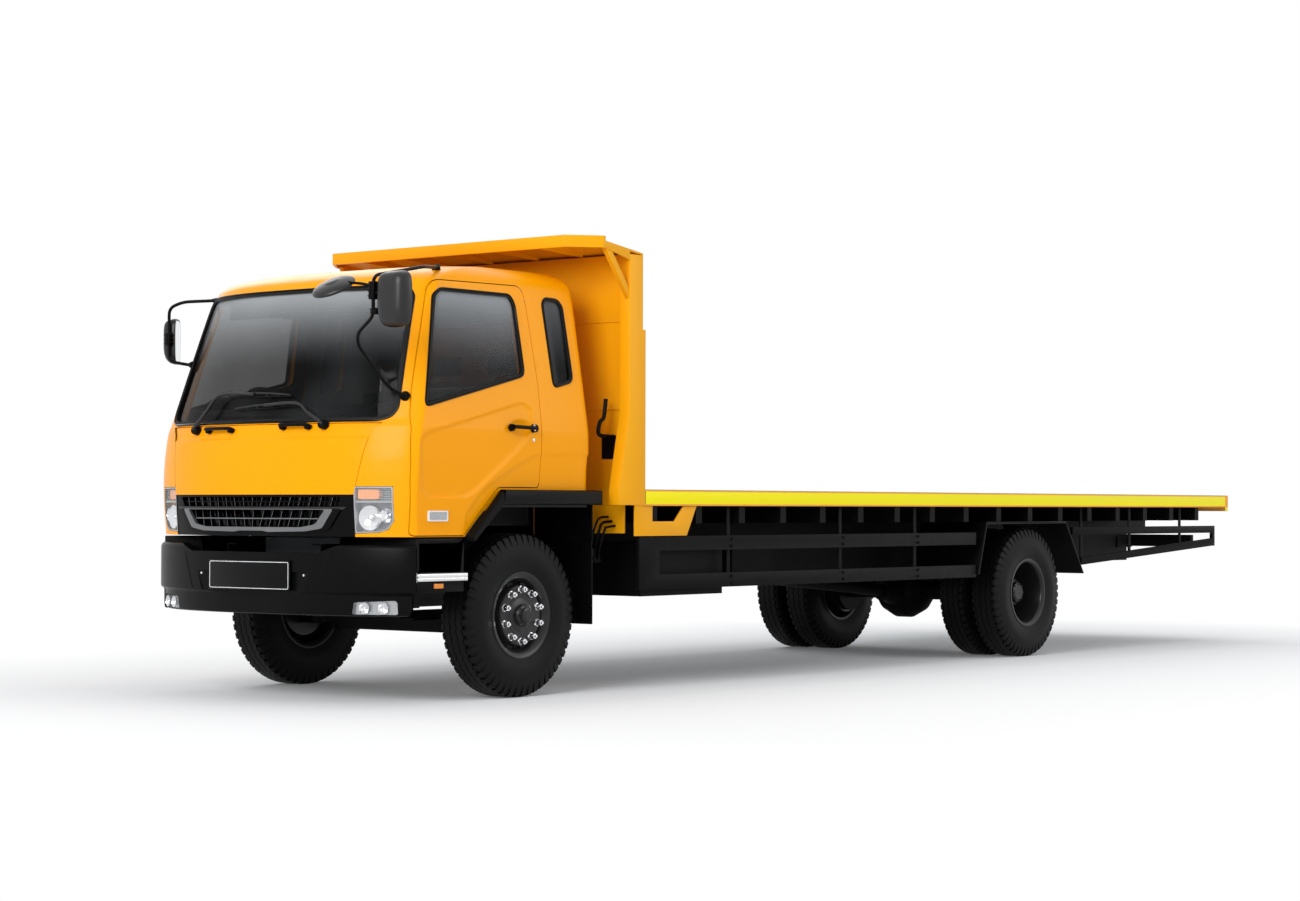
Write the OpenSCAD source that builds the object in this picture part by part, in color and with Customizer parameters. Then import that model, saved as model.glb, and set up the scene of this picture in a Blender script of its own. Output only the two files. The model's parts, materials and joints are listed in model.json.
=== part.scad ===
/* [Overall] */
// Distance between the front and rear axles
wheelbase = 6200; // [5900:10:6400]
// Reach of the deck behind the rear axle
rear_overhang = 3580; // [3400:10:3800]
// Reach of the round mirror ahead of the front axle
front_reach = 1620; // [1600:5:1700]
// Width of the load deck
deck_w = 2500; // [2440:10:2550]
// Height of the deck's top above the ground
deck_z = 1345; // [1330:1:1400]

/* [Wheels] */
// Radius of every tyre
tyre_r = 528; // [510:1:535]
// Width of a tyre across its bulge
tyre_w = 260; // [230:1:265]
// Radius of the bead seat
rim_r = 254; // [240:1:265]
// Side offset of a front wheel's centre plane
front_wheel_y = 970; // [960:1:975]
// Side offset of an outer rear wheel's centre plane
rear_outer_y = 1085; // [1080:1:1090]
// Distance between the centre planes of two twin wheels
twin_pitch = 310; // [300:1:312]
// Pitch circle of the wheel studs
stud_pcd = 335; // [320:1:340]
// Number of wheel nuts
nut_count = 10; // [8:1:10]
// Side offset of the kingpins
kingpin_y = 785; // [780:1:788]
// Radius of a kingpin
kingpin_r = 25; // [22:1:28]
// Radius of a front wheel's spindle
spindle_r = 35; // [30:1:40]
// Running clearance round pins and spindles
running = 0.05; // [0.02:0.01:0.1]
// Side reach of the track arm behind a kingpin
arm_len = 280; // [260:1:290]

/* [Cab] */
// Thickness of the cab's walls and doors
wall = 55; // [45:1:60]
// Gap at a seam between cab panels
seam = 6; // [5:0.5:8]
// Height of the cab's bottom edge
cab_floor_z = 1040; // [1038:1:1045]
// Thickness of the cab floor
floor_t = 60; // [40:1:70]
// Clearance round a fixed front panel
panel_fit = 0.3; // [0.2:0.1:1]
// Depth that the plan of the nose curves back at its sides
nose_depth = 300; // [280:1:320]
// Corner radius at the rear of the cab's plan
rear_corner_r = 80; // [60:1:95]
// Height of the grille's top edge
grille_top_z = 1300; // [1290:1:1310]
// Height of the windscreen panel's bottom edge
scuttle_z = 1740; // [1735:1:1745]
// Half width of the painted front panel
front_panel_y = 945; // [935:1:955]
// Thickness of the glass
glass_t = 6; // [4:0.5:8]
// Depth of the glass behind the outer skin
glass_depth = 12; // [8:1:20]
// Clearance round each pane
pane_fit = 0.3; // [0.2:0.1:0.5]
// Height of the cab's tilt pivot
tilt_z = 700; // [698:1:702]
// Reach of the cab's tilt pivot ahead of the front axle
tilt_x = 1200; // [1198:1:1202]
// Radius of the tilt pivot's pin
tilt_pin_r = 20; // [15:1:25]

/* [Chassis] */
// Distance between the outer faces of the frame rails
frame_w = 860; // [840:2:880]
// Height of the rails' bottom edge
rail_z = 740; // [735:1:745]
// Depth of a frame rail
rail_h = 250; // [240:1:255]
// Width of a rail's flange
rail_flange = 80; // [70:1:90]
// Thickness of a rail's steel
rail_t = 8; // [6:0.5:10]
// Radius of the front towing eye
tow_eye_r = 20; // [15:1:24]
// Radius of the rear coupling pin hole
coupling_r = 22; // [18:1:28]

/* [Bed] */
// Thickness of the deck's plate
plate_t = 26; // [20:1:30]
// Depth of the deck's edge band
band_h = 110; // [105:1:115]
// Distance between the crossmembers
cross_pitch = 500; // [450:10:540]
// Height of the headboard's top
headboard_z = 2920; // [2900:5:2940]
// Reach of the headboard's front face behind the front axle
headboard_x = 900; // [895:1:910]
// Thickness of the headboard's posts
post_t = 140; // [120:1:160]
// Reach of the canopy's lip behind the front axle
lip_x = 420; // [410:1:430]
// Rise of the canopy lip's top above the headboard
lip_rise = 100; // [90:1:110]
// Depth of the canopy's lip
lip_h = 80; // [60:1:90]

/* [Hidden] */
$fn = 48;
far = 3000;

paint = [0.96, 0.62, 0.08];
board_paint = [0.95, 0.66, 0.10];
band_paint = [0.95, 0.93, 0.12];
black = [0.08, 0.08, 0.08];
tyre_black = [0.12, 0.12, 0.12];
trim = [0.16, 0.16, 0.17];
clear_glass = [0.35, 0.40, 0.42, 0.5];

tail_x = -(wheelbase + rear_overhang);
axle_x = (wheelbase + rear_overhang - front_reach) / 2;
half_w = deck_w / 2;
rail_y = frame_w / 2;
rail_top = rail_z + rail_h;
band_z = deck_z - band_h;
cross_h = 120;
cross_z = band_z - cross_h;
lip_z = headboard_z + lip_rise;
floor_top = cab_floor_z + floor_t;
cab_rear_x = -630;
deck_front_x = -(headboard_x + post_t + 30);
twin_y = rear_outer_y - twin_pitch;

// Cab sections from the bottom up: height, nose x at the centre line, half width, rear x
CAB = [
    [cab_floor_z, 1335, 1145, cab_rear_x],
    [1300, 1350, 1155, cab_rear_x],
    [1500, 1340, 1160, cab_rear_x],
    [1700, 1310, 1158, cab_rear_x],
    [1770, 1285, 1150, cab_rear_x],
    [2600, 1030, 1010, cab_rear_x],
    [2660, 985, 995, cab_rear_x],
    [2700, 900, 975, -625],
    [2740, 740, 925, -610],
    [2770, 500, 850, -585],
    [2795, 300, 720, -550],
    [2812, 80, 520, -500],
    [2820, -120, 280, -420]
];
roof_row = 6;

// Outlines seen from the side, as x and z
DOOR = [[1075, 1046], [1083, 1390], [1069, 1634], [1046, 1770], [1000, 1944], [918, 2196], [822, 2483],
    [780, 2600], [725, 2650], [-45, 2660], [-85, 2630], [-100, 2540], [-125, 2032], [-110, 1710],
    [-100, 1350], [300, 1350], [610, 1046]];
DOOR_WINDOW = [[965, 1840], [-5, 2070], [5, 2540], [45, 2600], [700, 2600], [765, 2560]];
QUARTER_WINDOW = [[-276, 2000], [-483, 2050], [-470, 2550], [-430, 2596], [-300, 2600], [-262, 2560]];
WHEEL_WELL = [[-900, 900], [-900, 1225], [260, 1225], [420, 1170], [570, 1030], [570, 900]];
FLARE = [[-680, 1240], [-680, 1336], [285, 1336], [325, 1305], [600, 1042], [565, 1010], [295, 1240]];

// Outlines seen from the front, as y and z
WINDSCREEN = [[-1015, 1830], [-990, 1780], [-920, 1757], [920, 1757], [990, 1780], [1015, 1830],
    [928, 2550], [880, 2604], [-880, 2604], [-928, 2550]];
REAR_WINDOW = [[-560, 2050], [560, 2050], [560, 2480], [-560, 2480]];

module block(x, y, z) {
    translate([x[0], y[0], z[0]]) cube([x[1] - x[0], y[1] - y[0], z[1] - z[0]]);
}

module both_sides() {
    children();
    mirror([0, 1, 0]) children();
}

// An outline in x and z, made solid from y0 to y1
module side_prism(points, y0, y1) {
    translate([0, y1, 0]) rotate([90, 0, 0]) linear_extrude(y1 - y0) polygon(points);
}

// An outline in y and z, made solid from x0 to x1
module front_prism(points, x0, x1) {
    translate([x0, 0, 0]) rotate([90, 0, 90]) linear_extrude(x1 - x0) polygon(points);
}

// A round bar from point a to point b
module bar(a, b, d) {
    v = b - a;
    translate(a) rotate([0, acos(v[2] / norm(v)), atan2(v[1], v[0])]) cylinder(d = d, h = norm(v));
}

// A round bar through a list of points, with a ball at each bend
module bent_bar(points, d) {
    for (i = [0:len(points) - 2]) bar(points[i], points[i + 1], d);
    for (i = [1:len(points) - 2]) translate(points[i]) sphere(d = d * 1.15);
}

// A solid of revolution about a wheel's own axis, from points of radius and side offset
module turned(points, y) {
    translate([0, y, 0]) rotate([-90, 0, 0]) rotate_extrude($fn = 96) polygon(points);
}

module wheel_bar(r, y0, y1) {
    translate([0, y0, 0]) rotate([-90, 0, 0]) cylinder(r = r, h = y1 - y0);
}

// Half of the cab's plan at one section, from the nose to the middle of the rear wall
function half_plan(row, inset) = concat(
    [for (a = [0:10:90]) [row[1] - inset - nose_depth * (1 - pow(max(cos(a), 0), 1.54)),
        (row[2] - inset) * pow(sin(a), 0.769)]],
    [for (a = [90:30:180]) [row[3] + inset + rear_corner_r * (1 + cos(a)),
        row[2] - inset - rear_corner_r * (1 - sin(a))]]);

function whole_plan(row, inset) = let (p = half_plan(row, inset), n = len(p))
    concat(p, [for (i = [n - 1:-1:1]) [p[i][0], -p[i][1]]]);

// One section as a ring of points, where the roof's sections also drop by the inset
function ring(row, inset) = [for (p = whole_plan(row, inset))
    [p[0], p[1], row[0] - (row[0] > CAB[roof_row - 1][0] ? inset : 0)]];

module cab_band(low, high) {
    n = len(low);
    hull() polyhedron(concat(low, high), concat([[for (i = [0:n - 1]) i]],
        [[for (i = [n - 1:-1:0]) n + i]],
        [for (i = [0:n - 1]) [i, n + i, n + (i + 1) % n, (i + 1) % n]]));
}

// The cab's whole form, shrunk by an inset on every side but the open bottom
module cab_form(inset) {
    for (i = [0:len(CAB) - 2]) cab_band(ring(CAB[i], inset), ring(CAB[i + 1], inset));
}

module cab_skin(outer, thickness) {
    difference() {
        cab_form(outer);
        translate([0, 0, outer > 0 ? 0 : -0.5]) cab_form(outer + thickness);
    }
}

// Side range within which doors and side windows are cut
cut_y = [700, 1250];
module door_hole(grow) {
    translate([0, cut_y[1], 0]) rotate([90, 0, 0]) linear_extrude(cut_y[1] - cut_y[0])
        offset(delta = grow) polygon(DOOR);
}

module window_hole(points, y0, y1, shrink = 0) {
    translate([0, y1, 0]) rotate([90, 0,
        0]) linear_extrude(y1 - y0) offset(delta = -shrink) polygon(points);
}

module screen_hole(points, x0, x1, shrink = 0) {
    translate([x0, 0, 0]) rotate([90, 0,
        90]) linear_extrude(x1 - x0) offset(delta = -shrink) polygon(points);
}

grille_y = 812;
lamp_y = [grille_y + 0.1, 1046];
lamp_z = [1060, 1350];
lamp_x = 1095;
module lamp_hole(grow) {
    both_sides() block([lamp_x, far], lamp_y + [-grow, grow], lamp_z + [-grow, grow]);
}

FRONT_PANEL = [[-grille_y, grille_top_z], [grille_y, grille_top_z], [872, 1610], [front_panel_y - 45,
    scuttle_z - 45],
    [front_panel_y, scuttle_z], [-front_panel_y, scuttle_z], [-front_panel_y + 45, scuttle_z - 45],
    [-872, 1610]];
module front_hole(grow) {
    screen_hole(FRONT_PANEL, 800, far, -grow);
}

module grille_hole(grow) {
    block([800, far], [-grille_y - grow, grille_y + grow],
        [cab_floor_z - 100, grille_top_z + grow]);
}

// Chassis

tail_inset = 440;
rail_front_x = 1150;
rail_rear_x = tail_x + tail_inset;
gearbox_rear_x = -1150;
tow_eye_z = rail_z + 60;
tow_eye_t = 30;
coupling_z = rail_z + 75;
// Crossbars ahead of the gearbox, behind it, along the wheelbase and along the tail
crossbar_x = concat([1050, gearbox_rear_x - 41],
    [for (share = [0.37, 0.6, 0.806, 0.919]) -wheelbase * share],
    [for (share = [0.16, 0.54, 0.92]) -wheelbase + (rail_rear_x + wheelbase) * share]);

module rail() {
    difference() {
        block([rail_rear_x, rail_front_x], [rail_y - rail_flange, rail_y], [rail_z, rail_top]);
        block([rail_rear_x - 1, rail_front_x + 1], [rail_y - rail_flange - 1, rail_y - rail_t],
            [rail_z + rail_t, rail_top - rail_t]);
    }
}

module frame() {
    color(black) {
        both_sides() {
            rail();
            // Rear cab rests
            block([-560, -480], [rail_y - rail_flange, rail_y], [rail_top, cab_floor_z - 0.3]);
            // Tilt pivot ears and pins
            difference() {
                side_prism([[rail_front_x - 60, rail_top - 60], [rail_front_x - 60, rail_z],
                    [tilt_x - 20, tilt_z - 45], [tilt_x + 45, tilt_z - 45], [tilt_x + 45, tilt_z + 45]],
                    rail_y, rail_y + 20);
                translate([tilt_x, rail_y - 1, tilt_z]) wheel_bar(tilt_pin_r - 0.5, 0, 22);
            }
            translate([tilt_x, 0, tilt_z]) wheel_bar(tilt_pin_r, rail_y - 20, rail_y + 75);
        }
        for (x = crossbar_x)
            block([x - 40, x + 40], [-rail_y + rail_t, rail_y - rail_t], [rail_z + 40, rail_top - 60]);
        // Front cross beam with its towing eye
        difference() {
            union() {
                block([rail_front_x, rail_front_x + 30], [-rail_y, rail_y], [rail_z, rail_top - 60]);
                block([rail_front_x + 30.2, rail_front_x + 110], [-40, 40], [tow_eye_z,
                    tow_eye_z + tow_eye_t]);
            }
            translate([rail_front_x + 70, 0, tow_eye_z - 1]) cylinder(r = tow_eye_r, h = tow_eye_t + 2);
        }
        // Rear cross beam with its coupling hole
        difference() {
            block([rail_rear_x, rail_rear_x + 20], [-rail_y + rail_t, rail_y - rail_t],
                [rail_z + rail_t, rail_top - rail_t]);
            translate([rail_rear_x - 1, 0, coupling_z]) rotate([0, 90, 0])
                cylinder(r = coupling_r, h = 22);
        }
    }
}

module engine() {
    color([0.25, 0.26, 0.27]) {
        block([-450, 850], [-300, 300], [620, 1030]);
        block([-300, 700], [-180, 180], [560, 620]);
        block([850, 900], [-340, 340], [640, 1025]);
        // Mounts out to the rails' webs
        both_sides() block([100, 220], [300, rail_y - rail_t - 0.3], [760, 860]);
    }
}

shaft_z = rail_z - 35;
diff_r = 235;
module driveline() {
    color(black) {
        side_prism([[-450, 620], [-450, 980], [-760, 900], [gearbox_rear_x, 860], [gearbox_rear_x, 640],
            [-760, 640]], -180, 180);
        bar([gearbox_rear_x, 0, shaft_z], [-3670, 0, shaft_z], 100);
        block([-3730, -3670], [-120, 120], [shaft_z - 70, rail_z + 39.7]);
        bar([-3730, 0, shaft_z], [-wheelbase + diff_r + 147, 0, tyre_r], 100);
    }
}

axle_drop = 110;
module front_axle() {
    z = tyre_r;
    color(black) difference() {
        union() {
            front_prism([[-kingpin_y + 40, z - 45], [-kingpin_y + 40, z + 45], [-640, z + 45], [-520,
                z - 40],
                [520, z - 40], [640, z + 45], [kingpin_y - 40, z + 45], [kingpin_y - 40, z - 45],
                [620, z - 60], [500, z - axle_drop - 20], [-500, z - axle_drop - 20], [-620, z - 60]],
                    -45, 45);
            both_sides() translate([0, kingpin_y, z - 60]) cylinder(r = 55, h = 120);
        }
        both_sides() translate([0, kingpin_y, z - 61]) cylinder(r = kingpin_r + running, h = 122);
    }
}

module rear_axle() {
    translate([-wheelbase, 0, tyre_r]) color(black) {
        wheel_bar(80, -600, 600);
        both_sides() wheel_bar(spindle_r + 20, 600, 1110);
        both_sides() wheel_bar(190, 560, 590);
        turned([[0, -260], [90, -250], [180, -170], [diff_r, -60], [diff_r, 60], [180, 170], [90, 250],
            [0, 260]], 0);
        rotate([0, 90, 0]) cylinder(r1 = 190, r2 = 90, h = diff_r + 80);
        rotate([0, 90, 0]) cylinder(r = 85, h = diff_r + 140);
    }
}

// Leaf packs: middle x, half length, seat height, number of leaves, axle tube height under the seat
SPRINGS = [
    [0, 700, tyre_r - 40, 4, 1],
    [-wheelbase, 800, tyre_r + 80, 5, 1]
];
leaf_t = 16;
leaf_y = 410;
module leaf_springs() {
    color(black) both_sides() for (s = SPRINGS) {
        for (i = [0:s[3] - 1])
            block([s[0] - s[1] * (1 - i * 0.17), s[0] + s[1] * (1 - i * 0.17)], [leaf_y - 40,
                leaf_y + 40],
                [s[2] + (s[3] - 1 - i) * leaf_t, s[2] + (s[3] - i) * leaf_t]);
        for (k = [-1, 1])
            block([s[0] + k * (s[1] - 25) - 25, s[0] + k * (s[1] - 25) + 25], [leaf_y - 20, leaf_y + 20],
                [s[2] + s[3] * leaf_t, rail_z]);
    }
}

module tanks() {
    color(black) {
        block([-2100, -1180], [rail_y + 30, 1120], [620, 980]);
        block([-2050, -2000], [rail_y, rail_y + 30], [700, 900]);
        block([-1280, -1230], [rail_y, rail_y + 30], [700, 900]);
        translate([0, -760, 800]) rotate([0, -90, 0]) translate([0, 0, 1250]) cylinder(r = 190, h = 800);
        block([-1500, -1450], [-600, -rail_y], [700, 900]);
        block([-1850, -1800], [-600, -rail_y], [700, 900]);
        both_sides() {
            block([-3200, -2700], [rail_y + 20, rail_y + 330], [740, 960]);
            block([-2980, -2920], [rail_y, rail_y + 20], [780, 920]);
        }
    }
}

module exhaust() {
    color([0.3, 0.29, 0.28]) {
        translate([0, -rail_y - 190, 700]) rotate([0, -90, 0]) translate([0, 0,
            3300]) cylinder(r = 130, h = 900);
        bent_bar([[-3300, -620, 680], [-2450, -620, 640], [-2300, -500, 640], [-1000, -500, 640]], 90);
        bent_bar([[-4200, -620, 700], [-4700, -620, 700], [-4850, -760, 640]], 90);
        block([-3600, -3550], [-560, -rail_y], [800, 860]);
        block([-3950, -3900], [-560, -rail_y], [800, 860]);
    }
}

bumper_row = [0, 1360, 1165, 0];
bumper_z = [552, 990];
chin_z = 692;
bumper_t = 60;
bumper_end_x = 1062;
module bumper_ring(inset, z0, z1, thickness) {
    translate([0, 0, z0]) linear_extrude(z1 - z0) intersection() {
        difference() {
            polygon(whole_plan(bumper_row, inset));
            polygon(whole_plan(bumper_row, inset + thickness));
        }
        translate([bumper_end_x, -far / 2]) square([far, far]);
    }
}

plate_y = 370;
plate_z = [700, 890];
module bumper() {
    color(black) {
        difference() {
            union() {
                bumper_ring(0, chin_z, bumper_z[1], bumper_t);
                bumper_ring(22, bumper_z[0], chin_z, bumper_t - 22);
            }
            front_prism([[-720, 1000], [-575, 940], [575, 940], [720, 1000]], 900, 1500);
            front_prism([[-450, 668], [-515, 818], [515, 818], [450, 668]], bumper_row[1] - 28, 1500);
            both_sides() fog_room(1);
        }
        block([bumper_row[1] - 10, bumper_row[1] + 6], [-plate_y, plate_y], plate_z);
        both_sides() block([rail_front_x + 30, bumper_row[1] - bumper_t], [330, 390], [rail_z + 10,
            rail_z + 130]);
    }
}

module fog_room(grow) {
    block([1040, 1500], [800 - grow, 1110 + grow], [570 - grow, 655 + grow]);
}

module chassis_lamps() {
    color([0.9, 0.9, 0.88]) intersection() {
        both_sides() fog_room(0.7);
        bumper_ring(24, bumper_z[0], chin_z, 35);
    }
    color([0.9, 0.4, 0.1]) both_sides() {
        block([820, 900], [step_y[1] + 0.3, step_y[1] + 10], [722, 752]);
        block([tail_x + 299.7 - 20, tail_x + 299.7], [560, 860], [880, 970]);
    }
}

step_x = [622, 1050];
step_y = [790, 1155];
module steps() {
    color(black) both_sides() {
        difference() {
            block(step_x, step_y, [698, 1030]);
            block([step_x[0] + 40, step_x[1] - 25], [step_y[0] + 60, step_y[1] + 1], [825, 1000]);
        }
        block([step_x[0] + 150, step_x[0] + 230], [rail_y, step_y[0]], [850, 930]);
    }
    color([0.8, 0.8, 0.78]) both_sides()
        block([step_x[0] - 17, bumper_end_x - 3], [step_y[1], step_y[1] + 20], [762, 820]);
}

flap_x = -650;
guard_in_y = 620;
guard_top = cross_z - 0.3;
module mudguards() {
    color(black) both_sides() {
        block([flap_x - 12, flap_x], [820, 1130], [450, 1000]);
        block([flap_x - 60, flap_x - 12], [rail_y, 1100], [900, 950]);
        // Rear guard: a front apron, a rear apron and the roof between them
        translate([-wheelbase, 0, 0]) {
            side_prism([[704, guard_top], [835, 690], [855, 690], [724, guard_top]], guard_in_y,
                half_w - 5);
            side_prism([[-540, guard_top], [-845, 670], [-865, 670], [-560, guard_top]], guard_in_y,
                half_w - 5);
            block([-555, 720], [guard_in_y, half_w - 5], [guard_top - 20, guard_top]);
        }
    }
}

tail_guard_x = -wheelbase - 850;
guard_y = [half_w - 50, half_w - 20];
hanger_top = deck_z - plate_t - 0.3;
GUARD_RAILS = [[930, 1030], [670, 770]];
guard_front_x = -1250;
guard_rear_x = -wheelbase + 860;
GUARD_HANGERS = [for (share = [0.2, 0.54, 0.79]) guard_front_x + (guard_rear_x - guard_front_x) * share];
module side_guards() {
    color(black) both_sides() {
        block([guard_front_x, -1030], guard_y, [670, 1030]);
        for (z = GUARD_RAILS) block([guard_rear_x, guard_front_x], guard_y, z);
        for (x = GUARD_HANGERS) {
            block([x - 20, x + 20], guard_y - [12, 30], [670, hanger_top]);
        }
        block([-1200, -1140], guard_y - [12, 30], [700, cross_z - 0.3]);
        // Rear section with a level upper rail and a lower rail that rises to the tail
        block([tail_x + 230, tail_guard_x + 150], guard_y, [1000, 1065]);
        side_prism([[tail_guard_x, 742], [tail_guard_x, 802], [tail_x + 280, 950], [tail_x + 280, 880]],
            guard_y[0], guard_y[1]);
        block([tail_x + 230, tail_x + 280], guard_y, [880, 1000]);
        for (share = [0.02, 0.37, 0.76]) {
            x = tail_guard_x + (tail_x + 280 - tail_guard_x) * share;
            block([x - 20, x + 20], guard_y - [12, 30], [800 + 145 * share, hanger_top]);
        }
    }
}

module rear_guard() {
    x = tail_x + 360;
    color(black) {
        block([x - 60, x], [-1050, 1050], [870, 980]);
        both_sides() block([x, rail_rear_x + 200], [rail_y + 0.3, rail_y + 12], [860, 970]);
    }
}

cross_end_y = half_w - 22;
cross_count = floor((-deck_front_x + tail_x + 300) / -cross_pitch);
CROSS_X = [for (i = [0:cross_count]) deck_front_x - 120 - i * cross_pitch];
module subframe() {
    color(black) {
        both_sides() block([tail_x + 60, deck_front_x], [rail_y - 75, rail_y - 5], [rail_top, cross_z]);
        for (x = CROSS_X) block([x - 35, x + 35], [-cross_end_y, cross_end_y], [cross_z, band_z]);
    }
}

module deck() {
    color(band_paint) {
        block([tail_x, deck_front_x], [-half_w, half_w], [deck_z - plate_t, deck_z]);
        both_sides() block([tail_x, deck_front_x], [half_w - 10, half_w], [band_z, deck_z - plate_t]);
    }
    color(black) for (x = CROSS_X)
        block([x - 45, x + 45], [-half_w + 10, half_w - 10], [band_z, deck_z - plate_t]);
    color(board_paint) block([tail_x, tail_x + 60], [-half_w, half_w], [band_z - 35, band_z]);
}

board_front = -headboard_x;
post_rear = board_front - post_t;
module headboard() {
    color(board_paint) {
        // Side posts with the foot that widens forward
        both_sides() side_prism([[board_front, headboard_z], [board_front, 1860], [-790, 1340], [-790,
            1240],
            [post_rear + 30, 1240], [post_rear - 30, band_z], [post_rear - 30, 2420], [post_rear, 2420],
            [post_rear, headboard_z]], half_w - 90, half_w);
        // Lapped panel sheets
        block([board_front - 30, board_front - 18], [-half_w + 90, half_w - 90], [headboard_z - 450,
            headboard_z]);
        block([board_front - 42, board_front - 30], [-half_w + 90, half_w - 90], [1880, 2500]);
        block([board_front - 54, board_front - 42], [-half_w + 90, half_w - 90], [1240, 1910]);
        block([board_front - 66, board_front - 54], [-half_w + 90, half_w - 90], [1050, 1270]);
        block([post_rear, board_front - 66], [-half_w + 90, half_w - 90], [band_z + 5, 1345]);
        block([post_rear, board_front - 30], [-half_w + 90, half_w - 90], [headboard_z - 120,
            headboard_z]);
        for (y = [-800, 0, 800]) block([post_rear, board_front - 54], [y - 40, y + 40], [1345,
            headboard_z - 120]);
        // Side plate below the deck with its slanted window
        both_sides() difference() {
            side_prism([[-970, 1032], [-970, 1240], [-1010, 1240], [deck_front_x, band_z], [-1650,
                band_z],
                [-1540, 1032]], cross_end_y + 0.3, half_w - 10.3);
            side_prism([[-1160, 1130], [-1160, band_z], [-1500, band_z], [-1400, 1130]], half_w - 30,
                half_w);
        }
    }
}

chamfer_x = 200;
module canopy() {
    color(board_paint) {
        // Lip across the front with chamfered corners
        translate([0, 0, lip_z - lip_h]) linear_extrude(lip_h) polygon([[-lip_x, -half_w + 170],
            [-lip_x, half_w - 170], [-lip_x - chamfer_x, half_w], [-lip_x - chamfer_x - 25, half_w],
            [-lip_x - 25, half_w - 178], [-lip_x - 25, -half_w + 178], [-lip_x - chamfer_x - 25, -half_w],
            [-lip_x - chamfer_x, -half_w]]);
        // Sloping roof sheet
        intersection() {
            side_prism([[-lip_x - 5, lip_z - 16], [-lip_x - 5, lip_z - 2], [post_rear, headboard_z + 14],
                [post_rear, headboard_z]], -half_w, half_w);
            linear_extrude(far + 200) polygon([[-lip_x - 10, -half_w + 175], [-lip_x - 10, half_w - 175],
                [-lip_x - chamfer_x - 10, half_w], [post_rear, half_w], [post_rear, -half_w],
                [-lip_x - chamfer_x - 10, -half_w]]);
        }
        // Side flanges
        both_sides() side_prism([[-lip_x - chamfer_x - 10, lip_z - lip_h + 3],
            [-lip_x - chamfer_x - 10, lip_z - 35],
            [board_front, headboard_z + 28], [board_front, headboard_z - 40]], half_w - 12, half_w);
        // Ribs that run fore and aft
        for (y = [-820, -420, 0, 420, 820]) side_prism([[-lip_x - 15, lip_z - 75], [-lip_x - 15,
            lip_z - 10],
            [board_front - 18, headboard_z + 24], [board_front - 18, headboard_z + 0.3]], y - 6, y + 6);
        // Struts down to the posts
        both_sides() side_prism([[-640, lip_z - 70], [-700, lip_z - 70], [board_front, headboard_z - 230],
            [board_front, headboard_z - 300]],
            half_w - 40, half_w - 6);
    }
}

// Cab

module cab_floor() {
    difference() {
        translate([0, 0, cab_floor_z]) linear_extrude(floor_t) polygon(whole_plan(CAB[0], wall - 1));
        wells(0);
        block([700, far], [-half_w, half_w], [cab_floor_z - 1, floor_top + 1]);
    }
}

well_in_y = 640;
module wells(grow) {
    both_sides() translate([0, cut_y[1], 0]) rotate([90, 0, 0]) linear_extrude(cut_y[1] - well_in_y)
        offset(delta = grow) polygon(WHEEL_WELL);
}

module cab_shell() {
    color(paint) difference() {
        union() {
            cab_skin(0, wall);
            cab_floor();
            intersection() {
                cab_form(0);
                difference() {
                    wells(30);
                    wells(0);
                }
            }
        }
        both_sides() door_hole(seam / 2);
        screen_hole(WINDSCREEN, 600, far);
        both_sides() window_hole(QUARTER_WINDOW, cut_y[0], cut_y[1]);
        screen_hole(REAR_WINDOW, cab_rear_x - 100, cab_rear_x + 200);
        front_hole(panel_fit / 2);
        grille_hole(panel_fit / 2);
        lamp_hole(panel_fit / 2);
        wells(0);
    }
}

module tilt_arms() {
    color(black) both_sides() difference() {
        side_prism([[tilt_x + 38, tilt_z - 30], [tilt_x - 30, tilt_z - 50], [tilt_x - 320,
            cab_floor_z - 80],
            [tilt_x - 720, cab_floor_z - 60], [tilt_x - 720, cab_floor_z], [tilt_x - 520, cab_floor_z],
            [tilt_x - 520, cab_floor_z], [tilt_x - 220, cab_floor_z - 10], [tilt_x + 38, tilt_z + 40]],
            rail_y + 26, rail_y + 60);
        translate([tilt_x, 0, tilt_z]) wheel_bar(tilt_pin_r + running, rail_y + 20, rail_y + 70);
    }
}

module front_panel() {
    color(paint) difference() {
        intersection() {
            cab_skin(0, wall);
            front_hole(-panel_fit / 2);
        }
        lamp_hole(panel_fit / 2);
    }
}

slot_x = 1280;
module grille() {
    color(black) difference() {
        intersection() {
            cab_skin(0, wall);
            grille_hole(-panel_fit / 2);
        }
        for (y = [-1, 1]) block([slot_x, far], [y > 0 ? 20 : -700, y > 0 ? 700 : -20], [1225, 1280]);
        for (i = [-7:7]) block([slot_x, far], [i * 85 - 32, i * 85 + 32], [1105, 1195]);
    }
}

module headlamps() {
    color([0.9, 0.9, 0.88]) intersection() {
        cab_skin(0, wall);
        lamp_hole(-panel_fit / 2);
    }
}

module cab_glass() {
    color(clear_glass) intersection() {
        cab_skin(glass_depth, glass_t);
        union() {
            screen_hole(WINDSCREEN, 600, far, pane_fit);
            both_sides() window_hole(QUARTER_WINDOW, cut_y[0], cut_y[1], pane_fit);
            screen_hole(REAR_WINDOW, cab_rear_x - 100, cab_rear_x + 200, pane_fit);
        }
    }
}

module door() {
    difference() {
        intersection() {
            cab_skin(0, wall);
            door_hole(-seam / 2);
        }
        window_hole(DOOR_WINDOW, cut_y[0], cut_y[1]);
    }
}

module door_pane() {
    intersection() {
        cab_skin(glass_depth, glass_t);
        window_hole(DOOR_WINDOW, cut_y[0], cut_y[1], pane_fit);
    }
}

module door_left() {
    color(paint) door();
}

module door_right() {
    color(paint) mirror([0, 1, 0]) door();
}

module door_glass_left() {
    color(clear_glass) door_pane();
}

module door_glass_right() {
    color(clear_glass) mirror([0, 1, 0]) door_pane();
}

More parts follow.
